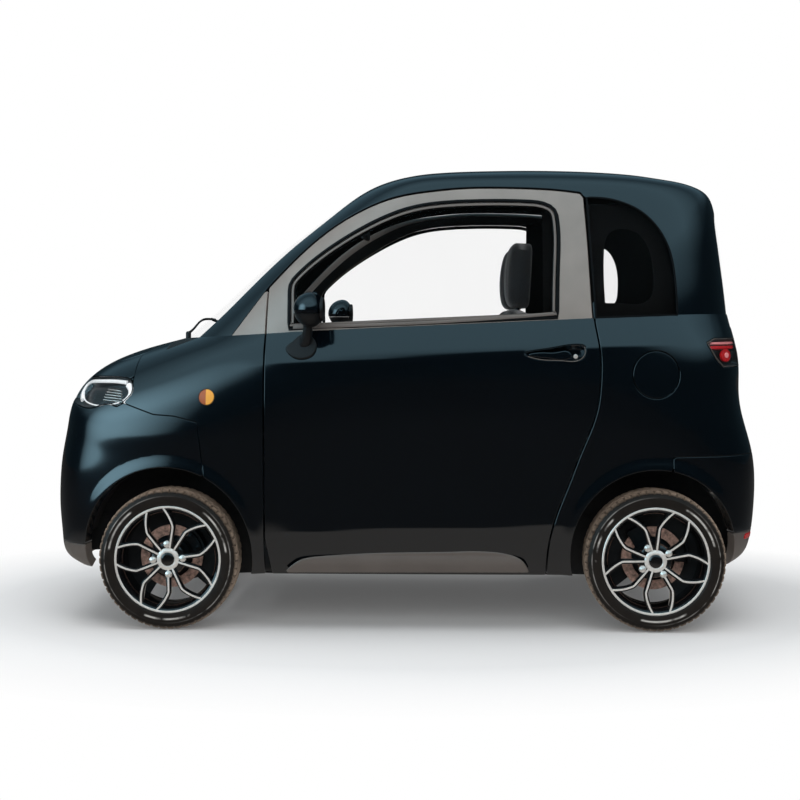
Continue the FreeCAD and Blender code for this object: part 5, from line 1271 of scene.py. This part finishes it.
bowl("handleBowlLeft", grown(handleZone, -0.001), 0.002, 0.022, bodyPaint, "body_paint", "door_left", 0.005)
gripLine = smoothOutline([
    (-0.421, 0.9405), (-0.450, 0.9335), (-0.500, 0.9290), (-0.562, 0.9275), (-0.572, 0.9350), (-0.568, 0.9480),
    (-0.520, 0.9510), (-0.460, 0.9500)], [])
panel("doorGripLeft", lowerSkin, leftSide(gripLine), "paint", "door_left", ("door_handle_left",), True, spacing=0.005,
      roll=0.004, depth=0.009, lift=0.0025)
skinRod("gripLipLeft", lowerSkin, [(-0.425, 0.936), (-0.470, 0.9255), (-0.540, 0.9220), (-0.600, 0.9255),
                                   (-0.6170, 0.945), (-0.6160, 0.968)], 0.0005,
        circle(0.0012, 8), satinTrim, "trim_grey", "door_left")
p, n = skinAt(lowerSkin, -0.586, 0.936, -0.010)
lock = turned([(0.0, -0.008), (0.0075, -0.008), (0.0078, 0.0030), (0.0062, 0.0042), (0.0, 0.0044)], p[0], n[0], 24)
bothSides("door_left", ("lockLeft", lock, brightMetal, "steel_dark", (), 35))

# garnish: its outline, the height it stands out below and how that fades
garnish = {"fadeZ": 0.231, "fadeHigh": 0.030, "push": 0.013}
garnishLine = smoothOutline([
    (0.407, 0.196), (0.386, 0.215), (0.348, 0.242), (0.285, 0.255), (0.083, 0.268), (-0.153, 0.273), (-0.308, 0.273),
    (-0.370, 0.262), (-0.409, 0.242), (-0.433, 0.200)], [0, 9])


# lower skin pushed out along its normal: 13 mm below height 0.231, falling to nothing over the next 30 mm
def ridgedSkin(t, s):
    p = lowerSkin(t, s)
    away = np.clip((p[..., 2] - garnish["fadeZ"]) / garnish["fadeHigh"], 0, 1)
    push = garnish["push"] * (1 - away * away * (1.5 - 0.5 * away))
    return p + normalOf(lowerSkin, t, s) * push[..., None]


panel("sillGarnishLeft", ridgedSkin, leftSide(garnishLine), "satin", "door_left", (), True, spacing=0.007, roll=0.004,
      depth=0.004, lift=0.0035)
ringLine = insetLine(windowLine, 0.013)[::2]
for name, line, lift, section, material, slotName, body in (
        ("windowSealLeft", windowLine[::2], 0.0005, (0.0055, 0.0035, 3.0), sealRubber, "interior_plastic", "door_left"),
        ("windowChannelLeft", ringLine, 0.0002, (0.0042, 0.0022, 4.0), satinTrim, "trim_grey", "door_left"),
        ("channelBackLeft", ringLine, -0.0105, (0.0065, 0.0040, 4.0), sealRubber, "interior_plastic", "door_left"),
        ("quarterSealLeft", quarterLine[::2], 0.0002, (0.0035, 0.0022, 3.0), sealRubber, "interior_plastic", "body")):
    skinRod(name, upperSkin, line, lift, roundedBox(*section, 10), material, slotName, body, True)
beltLine = [(x, beltAt(x) + rise) for x, rise in ((0.372, 0.0135), (0.100, 0.0110), (-0.200, 0.0120), (-0.515, 0.0220))]
skinRod("beltStripLeft", upperSkin, beltLine, 0.0015, roundedBox(0.0060, 0.0030, 4.0, 12), satinTrim, "trim_grey",
        "door_left")

# front and rear: an opening with slats, blank plates, reflectors and the tailgate's grip strip
face = {
    "plateHalf": 0.260, "plateLow": 0.425, "plateHigh": 0.535, "openHalf": 0.330, "openLow": 0.325, "openHigh": 0.405,
    "slats": 3, "slatStep": 0.022, "slatHigh": 0.011, "noseFrom": 0.9, "tailFrom": -0.9,
}


def centred(half, low, high, radius, end):  # a rounded rectangle about the middle plane, on the nose or the tail
    return within(frontShape(roundedRectangle(half, low, high, radius)), end)


atNose, atTail = aheadOf(face["noseFrom"]), behind(face["tailFrom"])
panel("frontOpening", lowerSkin, centred(face["openHalf"], face["openLow"], face["openHigh"], 0.030, atNose), "black",
      "body", spacing=0.012, roll=0.004, depth=0.004, lift=0.0015)
for k in range(face["slats"]):
    z = face["openLow"] + 0.012 + face["slatStep"] * k
    panel("frontSlat" + str(k), lowerSkin, centred(face["openHalf"] - 0.016, z, z + face["slatHigh"], 0.005, atNose),
          "slat", "body", spacing=0.006, roll=0.002, depth=0.004, lift=0.0035)
for name, end in (("frontPlate", atNose), ("rearPlate", atTail)):
    panel(name, lowerSkin, centred(face["plateHalf"], face["plateLow"], face["plateHigh"], 0.010, end), "plate", "body",
          spacing=0.012, roll=0.002, depth=0.003, lift=0.0025)
panel("tailgateStrip", lowerSkin, centred(0.300, 0.940, 1.036, 0.016, atTail), "black", "tailgate", spacing=0.008,
      roll=0.004, depth=0.006, lift=0.0045)
reflector = frontShape(smoothOutline([(0.470, 0.300), (0.540, 0.300), (0.540, 0.318), (0.470, 0.318)]))
for side, half in (("Left", onLeft), ("Right", onRight)):
    panel("rearReflector" + side, lowerSkin, within(reflector, atTail, half), "reflector", "body", spacing=0.006,
          roll=0.002, depth=0.004, lift=0.0030)
# closing plates inside the wheel arches, each as its two ends in x and its low edge, and the sill
closing = {"y": 0.398, "thick": 0.002, "high": 0.360, "sillY": 0.575, "sillHalf": 0.020}
plates = []
for x0, x1, low in ((0.420, 0.655, 0.150), (-0.700, -0.470, 0.150), (-1.160, -1.090, 0.262), (0.990, 1.140, 0.232)):
    middle = (low + closing["high"]) / 2
    path = [(x0, closing["y"], middle), ((x0 + x1) / 2, closing["y"], middle + 0.004), (x1, closing["y"], middle)]
    section = roundedBox((closing["high"] - low) / 2, closing["thick"], 8.0, 16)
    plates.append(sweep(np.array(path), (0, 1, 0), section))
sill = np.array([(x, closing["sillY"], 0.2200) for x in np.linspace(-0.545, 0.500, 12)])
plates.append(sweep(sill, (0, 0, 1), roundedBox(closing["sillHalf"], 0.030, 6.0, 16)))
bothSides("body", ("closingPlatesLeft", joined(plates), linerPlastic, "liner_plastic", (), 35))
print("trims ready")

mirrorSizes = {
    "centre": (0.300, 0.778, 1.094), "half": (0.058, 0.0765, 0.060), "cutX": -0.034, "around": 48, "up": 20,
    "glassX": -0.0342, "stretch": (1, 1.35, 0.95),
}


# egg: a sphere stretched along its axes, a little fuller towards the front; v cuts it into cap and bowl
def eggParts(v0, v1, grow=0.0):
    around, up = mirrorSizes["around"], mirrorSizes["up"]
    v, u = np.meshgrid(np.linspace(v0, v1, up), np.linspace(0, 2 * math.pi, around, endpoint=False), indexing="ij")
    c = np.array(mirrorSizes["centre"])
    h = np.array(mirrorSizes["half"]) + grow
    x = np.cos(v) * np.cos(u)
    y = np.cos(v) * np.sin(u)
    back = np.where(x < 0, 0.72, 1.08)
    points = np.stack([c[0] + np.maximum(h[0] * x * back, mirrorSizes["cutX"]), c[1] + h[1] * y * (1 + 0.10 * x),
                       c[2] + h[2] * np.sin(v)], -1)
    return cappedGrid(points)


# turned about the mirror's axis, then stretched to an oval about its centre
def oval(profile, closed=False):
    centre = np.array(mirrorSizes["centre"])
    points, faces = turned(profile, centre + [mirrorSizes["glassX"], 0.0, 0.0], (-1, 0, 0), 48, closed)
    return (points - centre) * mirrorSizes["stretch"] + centre, faces


capParts = eggParts(-0.22, math.pi / 2 - 0.02)
bowlParts = eggParts(-math.pi / 2 + 0.02, -0.25, -0.0015)
glassDisc = oval([(0.0, -0.004), (0.040, -0.004), (0.040, 0.0004), (0.039, 0.0008), (0.0, 0.0008)])
rimRing = oval([(0.0385, -0.003), (0.0425, -0.003), (0.0425, 0.0060), (0.0405, 0.0072), (0.0385, 0.0060)], True)
foot = splineThrough([(0.318, 0.735, 1.058), (0.318, 0.728, 1.030), (0.322, 0.716, 1.004), (0.330, 0.700, 0.985)])
footPath = foot(np.linspace(0, 1, 16))
footParts = sweep(footPath, (1, 0, 0), roundedBox(0.021, 0.014, 3.0, 20), scale=np.linspace(0.9, 1.45, 16))
podLine = smoothOutline([
    (0.394, 0.962), (0.372, 0.984), (0.345, 1.006), (0.318, 1.008), (0.297, 0.992), (0.288, 0.966), (0.300, 0.938),
    (0.330, 0.925), (0.366, 0.930)], [])
bothSides("door_left", ("mirrorCapLeft", capParts, bodyPaint, "body_paint", ("mirror_left",), 50),
          ("mirrorBowlLeft", bowlParts, blackPlastic, "interior_plastic", (), 50),
          ("mirrorGlassLeft", glassDisc, mirrorSilver, "steel_dark", (), 30),
          ("mirrorRimLeft", rimRing, blackPlastic, "interior_plastic", (), 30),
          ("mirrorFootLeft", footParts, blackPlastic, "interior_plastic", (), 50))
panel("mirrorPodLeft", lowerSkin, leftSide(podLine), "black", "door_left", (), True, spacing=0.006, roll=0.006,
      depth=0.010, lift=0.010)
print("mirrors ready")

# seat: each pad as length, thickness, crown, places of its channels and bolster, and where its middle is in x and z
seatSizes = {
    "y": 0.255, "width": 0.430, "rake": 14.0, "railY": 0.165, "stalkY": 0.050,
    "cushion": (0.470, 0.105, 0.022, (-0.35, 0.0, 0.35), 0.018), "cushionAt": (-0.085, 0.392),
    "back": (0.700, 0.095, 0.018, (-0.5, -0.2, 0.1, 0.4), 0.020), "backAt": (-0.330, 0.760), "backLess": 0.010,
    "head": (0.238, 0.240, 0.080, 0.014, (), 0.0, 0.006, 4.0), "headAt": (-0.416, 1.222),
    "shell": (0.680, 0.030, 0.006, (), 0.0), "shellAt": (-0.386, 0.756), "shellLess": 0.040,
}


# padded block: superellipse plan |u|^p + |v|^p = 1, height bulging by (1 - w^2)^q and sunk along the stitched lines
def cushionParts(width, length, thick, crown, channels, bolster, pinch=0.012, power=5.0):
    u = np.linspace(-1, 1, 61)[:, None]
    v = np.linspace(-1, 1, 73)[None, :]
    edgeU = np.clip(1 - np.abs(v) ** power, 0, 1) ** (1 / power)
    x = u * edgeU * width / 2
    y = v * length / 2
    x = x * (1 - pinch / width * 2 * (1 - np.abs(v)) * np.abs(u) ** 6)
    rim = np.clip((1 - np.abs(u) ** 8) * (1 - np.abs(v) ** 8), 0, 1) ** 0.5
    wave = 1.0
    for at in channels:
        wave = wave - 0.16 * np.exp(-((v - at) / 0.018) ** 2) * (np.abs(u) < 0.62)
    for at in (-0.64, 0.64):
        wave = wave - 0.18 * np.exp(-((u - at) / 0.022) ** 2) * (1 - np.abs(v) ** 8)
    side = bolster * np.exp(-((np.abs(u) - 0.82) / 0.16) ** 2)
    pillow = 0.10 * np.sin((v * 0.5 + 0.5) * math.pi * (len(channels) + 1)) ** 2 * (np.abs(u) < 0.62)
    high = thick / 2 + crown * (1 - u ** 2) * (1 - v ** 2) + side
    top = (high * (0.35 + 0.65 * rim) * rim ** 0.15) * (0.86 + 0.14 * wave) + pillow * crown * rim
    low = -thick / 2 * rim ** 0.35
    topGrid = np.stack([np.broadcast_to(x, top.shape), np.broadcast_to(y, top.shape), top], -1)
    lowGrid = np.stack([np.broadcast_to(x, low.shape), np.broadcast_to(y, low.shape), low], -1)
    rows, columns = top.shape
    edge = np.concatenate([np.arange(columns), np.arange(2, rows) * columns - 1,
                           np.array([rows * columns - 1]), (rows - 1) * columns + np.arange(columns - 2, -1, -1),
                           np.arange(rows - 2, 0, -1) * columns])
    shift = rows * columns
    nextEdge = np.roll(edge, -1)
    walls = np.stack([edge, edge + shift, nextEdge + shift, nextEdge], -1)
    points = np.concatenate([topGrid.reshape(-1, 3), lowGrid.reshape(-1, 3)])
    faces = [np.concatenate([gridFaces(rows, columns, flip=True), gridFaces(rows, columns, first=shift), walls])]
    return points, faces


# local x across, y along and z up of the cushion, laid on two axes through a place
def laid(parts, place, along, up):
    along = np.array(along, float) / np.linalg.norm(along)
    up = np.array(up, float) - np.dot(up, along) * along
    up /= np.linalg.norm(up)
    across = np.cross(along, up)
    points = parts[0]
    return np.array(place) + points[:, :1] * across + points[:, 1:2] * along + points[:, 2:] * up, parts[1]


rake = math.radians(seatSizes["rake"])
backAlong = np.array([-math.sin(rake), 0, math.cos(rake)])
backUp = np.array([math.cos(rake), 0, math.sin(rake)])
for label, side in (("Left", 1), ("Right", -1)):
    y = side * seatSizes["y"]
    pads = []
    for key, less, along, up in (("cushion", 0.0, (1, 0, 0.06), (-0.06, 0, 1)),
                                 ("back", seatSizes["backLess"], backAlong, backUp),
                                 ("shell", seatSizes["shellLess"], backAlong, -backUp)):
        x, z = seatSizes[key + "At"]
        pads.append(laid(cushionParts(seatSizes["width"] - less, *seatSizes[key]), (x, y, z), along, up))
    base, back, shellBack = pads
    x, z = seatSizes["headAt"]
    head = laid(cushionParts(*seatSizes["head"]), (x, y, z), (-0.06, 0, 1), (1, 0, 0.06))
    for name, parts, padded in (("seatCushion", base, True), ("seatBack", back, True), ("headrest", head, True),
                                ("seatShell", shellBack, False)):
        material = seatCloth if padded else interiorPlastic
        obj = pieceFrom(name + label, parts, "body", material, "seat_cover", ("seats",) if name == "seatBack" else (),
                        60)
    frameParts = []
    for dy in (-seatSizes["railY"], seatSizes["railY"]):
        railPath = np.array([(-0.300, y + dy, 0.268), (-0.100, y + dy, 0.262), (0.100, y + dy, 0.262)])
        frameParts.append(sweep(railPath, (0, 0, 1), roundedBox(0.020, 0.012, 5.0, 12)))
        for x, lean in ((-0.260, -0.010), (0.070, 0.010)):
            leg = splineThrough([(x, y + dy, 0.270), (x + lean, y + dy, 0.310), (x - lean, y + dy, 0.350)])
            frameParts.append(sweep(leg(np.linspace(0, 1, 8)), (0, 1, 0), roundedBox(0.008, 0.018, 5.0, 12)))
    for dy in (-seatSizes["stalkY"], seatSizes["stalkY"]):
        stalk = splineThrough([(-0.398, y + dy, 1.030), (-0.406, y + dy, 1.080), (-0.412, y + dy, 1.150)])
        frameParts.append(sweep(stalk(np.linspace(0, 1, 8)), (0, 1, 0), circle(0.006, 12)))
    pieceFrom("seatFrame" + label, joined(frameParts), "body", darkSteel, "steel_dark", (), 35)
    skirt = np.array([(-0.300, y, 0.330), (-0.090, y, 0.336), (0.110, y, 0.346)])
    pieceFrom("seatSkirt" + label, sweep(skirt, (0, 0, 1), roundedBox(0.200, 0.018, 6.0, 24)), "body", interiorPlastic,
              "interior_plastic", (), 35)
print("seats ready")

# dashboard: one side profile carried across the car, drawn back at its ends by x - c |y|^4
dashLine = smoothOutline([
    (0.578, 0.690), (0.578, 0.985), (0.520, 1.010), (0.455, 0.998), (0.395, 0.968), (0.352, 0.925), (0.345, 0.895),
    (0.362, 0.860), (0.372, 0.780), (0.384, 0.705), (0.430, 0.648)], [0, 1, 10])
dash = {"half": 0.555, "foreX": 0.578, "middleZ": 0.850, "driverY": 0.255}
across = np.linspace(-dash["half"], dash["half"], 41)[:, None]
bend = 0.10 * np.abs(across / dash["half"]) ** 4
ease = 1 - 0.05 * np.abs(across / dash["half"]) ** 10
dashX = dash["foreX"] - (dash["foreX"] - dashLine[None, :, 0]) * ease * (1 - bend)
dashZ = dash["middleZ"] + (dashLine[None, :, 1] - dash["middleZ"]) * ease
dashParts = cappedGrid(np.stack([dashX, np.broadcast_to(across, dashX.shape), dashZ], -1), True)
pieceFrom("dashBody", dashParts, "body", interiorPlastic, "interior_plastic", ("dashboard",), 40)
column = np.array([(0.245, 0.255, 0.843), (0.320, 0.255, 0.808), (0.400, 0.255, 0.771)])
columnParts = [sweep(column, (0, 1, 0), roundedBox(0.034, 0.030, 3.5, 20), scale=np.array([0.8, 1.0, 1.15]))]
for dy in (-1, 1):
    stalk = splineThrough([(0.285, 0.255 + dy * 0.030, 0.828), (0.272, 0.255 + dy * 0.090, 0.838),
                           (0.262, 0.255 + dy * 0.150, 0.850)])
    columnParts.append(sweep(stalk(np.linspace(0, 1, 12)), (1, 0, 0.5), roundedBox(0.008, 0.006, 3.0, 12),
                             scale=np.linspace(0.8, 1.25, 12)))
for y in (0.160, 0.270):
    arm = splineThrough([(0.548, y + 0.030, 0.760), (0.530, y + 0.030, 0.600), (0.500, y + 0.030, 0.440)])
    columnParts.append(sweep(arm(np.linspace(0, 1, 14)), (0, 1, 0), roundedBox(0.006, 0.010, 4.0, 12)))
    pad = np.array([(0.498, y, 0.392), (0.496, y + 0.030, 0.393), (0.498, y + 0.060, 0.392)])
    columnParts.append(sweep(pad, (1, 0, 0.3), roundedBox(0.032, 0.006, 5.0, 20)))
pieceFrom("columnAndPedals", joined(columnParts), "body", blackPlastic, "interior_plastic", (), 35)
binnacle = splineThrough([(0.398, 0.125, 0.960), (0.385, 0.150, 0.998), (0.375, 0.255, 1.012), (0.385, 0.360, 0.998),
                          (0.398, 0.385, 0.960)])(np.linspace(0, 1, 30))
pieceFrom("instrumentHood", sweep(binnacle, (1, 0, 0.4), roundedBox(0.006, 0.036, 5.0, 16)), "body", blackPlastic,
          "interior_plastic", (), 35)
screenGlass = lensMaterial("screenGlass", "lampDark", 0.98)
for name, cy, cz, w, h in (
        ("instrumentScreen", dash["driverY"], 0.978, 0.105, 0.026), ("centreScreen", -0.015, 0.960, 0.105, 0.066)):
    path = np.array([(0.392, cy - w, cz), (0.388, cy, cz), (0.392, cy + w, cz)])
    pieceFrom(name, sweep(path, (0.94, 0, 0.34), roundedBox(h, 0.006, 6.0, 20)), "body", screenGlass,
              "interior_plastic", (), 35)
for k, y in enumerate((-0.480, -0.190, 0.470)):
    vent = [(0.0, 0.0), (0.034, 0.0), (0.038, 0.006), (0.038, 0.012), (0.030, 0.014), (0.028, 0.008), (0.0, 0.008)]
    pieceFrom("vent" + str(k), turned(vent, (0.372, y, 0.945), (-0.9, 0, 0.35), 36), "body", blackPlastic,
              "interior_plastic", (), 35)

# steering wheel in its own plane: a ring, three spokes and a soft hub
steering = {"tilt": 25, "centre": (0.230, 0.255, 0.850), "radius": 0.172}
tilt = math.radians(steering["tilt"])
wheelAt = np.array(steering["centre"])
wheelAxis, wheelUp = np.array([math.cos(tilt), 0, -math.sin(tilt)]), np.array([math.sin(tilt), 0, math.cos(tilt)])
wheelSide = np.array([0, 1.0, 0])
a = np.linspace(0, 2 * math.pi, 96, endpoint=False)[:, None]
rimPath = wheelAt + steering["radius"] * (np.cos(a) * wheelSide + np.sin(a) * wheelUp)
rimParts = sweep(rimPath, wheelAxis, roundedBox(0.0140, 0.0130, 2.4, 18), closedPath=True)
spokeParts = []
for angle in (0, 180, 270):
    w = math.radians(angle)
    reach = np.linspace(0.020, 0.170, 14)[:, None] * (math.cos(w) * wheelSide + math.sin(w) * wheelUp)
    path = wheelAt + reach - 0.010 * np.cos(np.linspace(0, 1.57, 14))[:, None] * wheelAxis
    spokeParts.append(sweep(path, wheelAxis, roundedBox(0.018, 0.006, 4.0, 16), scale=np.linspace(1.3, 0.8, 14)))
hubForm = [(0.0, -0.030), (0.036, -0.029), (0.052, -0.022), (0.058, -0.010), (0.050, 0.004), (0.030, 0.010),
           (0.0, 0.010)]
spokeParts.append(turned(hubForm, wheelAt, wheelAxis, 48))
pieceFrom("steeringRim", rimParts, "steering_wheel", interiorPlastic, "interior_plastic", ("steering_wheel",), 50)
pieceFrom("steeringSpokes", joined(spokeParts), "steering_wheel", blackPlastic, "interior_plastic", (), 40)

# door cards: the same skin, deeper, with an armrest
cardZone = within(grown(sideShape(doorLower), -shell["cardInset"]), onLeft, above(shell["cardLowZ"]))
panel("doorCardLeft", lowerSkin, cardZone, "card", "door_left", (), True, spacing=0.020, roll=0.004, depth=0.005,
      lift=shell["cardLift"])
armPath = splineThrough([(0.180, 0.660, 0.700), (0.080, 0.652, 0.712), (-0.200, 0.652, 0.718), (-0.330, 0.660, 0.710)])
armParts = sweep(armPath(np.linspace(0, 1, 30)), (0, 0, 1), roundedBox(0.024, 0.020, 3.5, 20))
bothSides("door_left", ("armrestLeft", armParts, interiorPlastic, "interior_plastic", (), 40))

# rear-view mirror under the roof: a stem and a rounded block
stem = splineThrough([(0.212, 0, 1.476), (0.190, 0, 1.450), (0.176, 0, 1.420)])(np.linspace(0, 1, 10))
rearView = [sweep(stem, (1, 0, 0), circle(0.007, 12))]
lens = np.array([(0.158, -0.110, 1.400), (0.170, 0.0, 1.403), (0.158, 0.110, 1.400)])
rearView.append(sweep(splineThrough(lens)(np.linspace(0, 1, 20)), (1, 0, 0), roundedBox(0.029, 0.010, 4.0, 20)))
pieceFrom("cabinMirror", joined(rearView), "body", blackPlastic, "interior_plastic", (), 40)

# wiper: blade along the foot of the windscreen, an arm with a knee and its pivot on the cowl
wiper = {"fromY": 0.070, "toY": -0.320, "z": 1.058, "slope": 0.037, "lift": 0.009, "postX": 0.824, "postY": 0.110}
bladeY = np.linspace(wiper["fromY"], wiper["toY"], 24)
tt, ss = np.meshgrid(np.linspace(0.01, 0.12, 240), np.linspace(0.0, 0.40, 400), indexing="ij")
near = upperSkin(tt, ss).reshape(-1, 3)
bladeZ = wiper["z"] - wiper["slope"] * (wiper["fromY"] - bladeY)
far = (near[None, :, 1] - np.abs(bladeY)[:, None]) ** 2 + (near[None, :, 2] - bladeZ[:, None]) ** 2
nearest = np.argmin(far, axis=1)
halves = np.stack([np.ones(24), np.where(bladeY < 0, -1.0, 1.0), np.ones(24)], -1)
bladeN = normalOf(upperSkin, tt.ravel()[nearest], ss.ravel()[nearest]) * halves
bladePath = near[nearest] * halves + bladeN * wiper["lift"]
wiperParts = [sweep(bladePath, bladeN, roundedBox(0.0045, 0.0065, 3.0, 10))]
middle = bladePath[10] + bladeN[10] * 0.008
knee = middle * 0.5 + np.array([0.412, 0.02, 0.532])
armLine = splineThrough([(wiper["postX"], wiper["postY"], 1.013), (0.816, 0.080, 1.022), knee, middle])
armLine = armLine(np.linspace(0, 1, 24))
wiperParts.append(sweep(armLine, (1, 0, 1), roundedBox(0.0050, 0.0036, 4.0, 12), scale=np.linspace(1.3, 0.8, 24)))
wiperParts.append(turned([(0.0, -0.020), (0.010, -0.020), (0.010, 0.012), (0.007, 0.017), (0.0, 0.018)],
                         (wiper["postX"], wiper["postY"], 1.002), (0, 0, 1), 24))
pieceFrom("wiper", joined(wiperParts), "body", blackPlastic, "trim_grey", (), 35)
print("cabin ready")


# rectangle that faces its target and shows in no reflection
def areaLight(name, place, target, size, power, colour):
    data = bpy.data.lights.new(name, "AREA")
    data.shape = "RECTANGLE"
    data.size, data.size_y = size
    data.energy = power
    data.color = colour
    obj = bpy.data.objects.new(name, data)
    obj.location = place
    obj.rotation_euler = (Vector(target) - Vector(place)).to_track_quat("-Z", "Y").to_euler()
    obj.visible_glossy = False
    bpy.context.scene.collection.objects.link(obj)


studio = {"cameraPlace": (-0.165, 6.1575, 1.032), "cameraTurn": 1.8, "focalPixels": 1609, "horizonPixel": 328}
floorMesh = meshFrom("studioFloor", 40.0 * np.array([(-1, -1, 0), (1, -1, 0), (1, 1, 0), (-1, 1, 0)]),
                     [np.array([[0, 1, 2, 3]])])
floorObject = bpy.data.objects.new("studioFloor", floorMesh)
bpy.context.scene.collection.objects.link(floorObject)
floorGraph = Graph("paleFloor", Roughness=0.75)
floorGraph.feed("Base Color", floorGraph.mix(floorGraph.noise(1.5, 3.0), tone("floor"), tone("floor", 0.99)))
glow = floorGraph.light((1, 1, 1, 1), 1.0)
seen, bounced = floorGraph.ray("Camera"), floorGraph.ray("Glossy")
far = floorGraph.node("ShaderNodeVectorMath", {"operation": "LENGTH"}, output="Value",
                      at0=floorGraph.stretched(0.66, 0.80, 1.0))
shade = floorGraph.light((1.0, 0.93, 0.86, 1), far.over(1.15, 0.35) * -0.36 + 0.39)
# grey floor near the car turning into white glow outwards along an ellipse: a painted shadow round the car, wider than
# the real one; a glow of at least 9 % lightens the real shadow evenly
glowShare = far.over(0.98, 0.55)
near = floorGraph.node("ShaderNodeMixShader", {}, at0=glowShare.maths("MAXIMUM", glowShare, 0.09) * seen,
                       at1=Field(floorGraph.tree, floorGraph.shader.outputs[0]), at2=glow)
floorMix = floorGraph.node("ShaderNodeMixShader", {}, at0=bounced * 0.97, at1=near, at2=shade)
floorGraph.tree.links.new(floorMix.socket, floorGraph.tree.nodes["Material Output"].inputs[0])
floorMesh.materials.append(floorGraph.material)
areaLight("overhead", (0.3, 0.3, 6.0), (0.1, 0.0, 0), (9.0, 6.0), 560, (0.98, 0.99, 1.0))
areaLight("sideFill", (-0.5, 6.5, 3.2), (-0.2, 0, 0.6), (11.0, 3.0), 300, (1.0, 1.0, 1.0))
areaLight("backFill", (-4.5, -5.0, 3.6), (0, 0, 0.7), (4.0, 2.5), 100, (1.0, 1.0, 1.0))
areaLight("frontFill", (6.0, 1.0, 2.6), (0.9, 0, 0.7), (4.0, 3.0), 50, (1.0, 1.0, 1.0))

world = bpy.data.worlds.new("studioWorld")
bpy.context.scene.world = world
world.use_nodes = True
sky = SkyGraph(world.node_tree)
plain = sky.tree.nodes["Background"]
plain.inputs["Color"].default_value = (0.94, 0.97, 1.0, 1)
plain.inputs["Strength"].default_value = 0.20
overhead = sky.axis("Z").over(0.26, 0.16) * (sky.axis("Y").over(-0.35, 0.60) * 0.85 + 0.22)
ahead = (sky.axis("X") * 0.83 + sky.axis("Y") * 0.53 + sky.axis("Z") * 0.16).over(0.82, 0.17)
dim = sky.node("ShaderNodeBackground", {}, Color=(0.49, 0.83, 1.0, 1), Strength=overhead + ahead * 4.0 + 0.03)
white = sky.node("ShaderNodeBackground", {}, Color=(1, 1, 1, 1), Strength=1.0)
straight, through = sky.ray("Camera"), sky.ray("Transmission")
soft = sky.node("ShaderNodeMixShader", {}, at0=sky.ray("Glossy"), at1=Field(sky.tree, plain.outputs[0]), at2=dim)
pick = sky.node("ShaderNodeMixShader", {}, at0=straight.maths("MAXIMUM", straight, through), at1=soft, at2=white)
sky.tree.links.new(pick.socket, sky.tree.nodes["World Output"].inputs[0])

cameraData = bpy.data.cameras.new("photoCamera")
cameraData.sensor_width = 36.0
cameraData.lens = 36.0 * studio["focalPixels"] / 800
cameraData.shift_y = (studio["horizonPixel"] - 400) / 800
cameraObject = bpy.data.objects.new("photoCamera", cameraData)
cameraObject.location = studio["cameraPlace"]
turn = math.radians(studio["cameraTurn"])
aim = Vector((math.sin(turn), -math.cos(turn), 0))
cameraObject.rotation_euler = aim.to_track_quat("-Z", "Y").to_euler()
bpy.context.scene.collection.objects.link(cameraObject)
bpy.context.scene.camera = cameraObject
bpy.context.scene.view_settings.view_transform = "Standard"
print("studio ready")
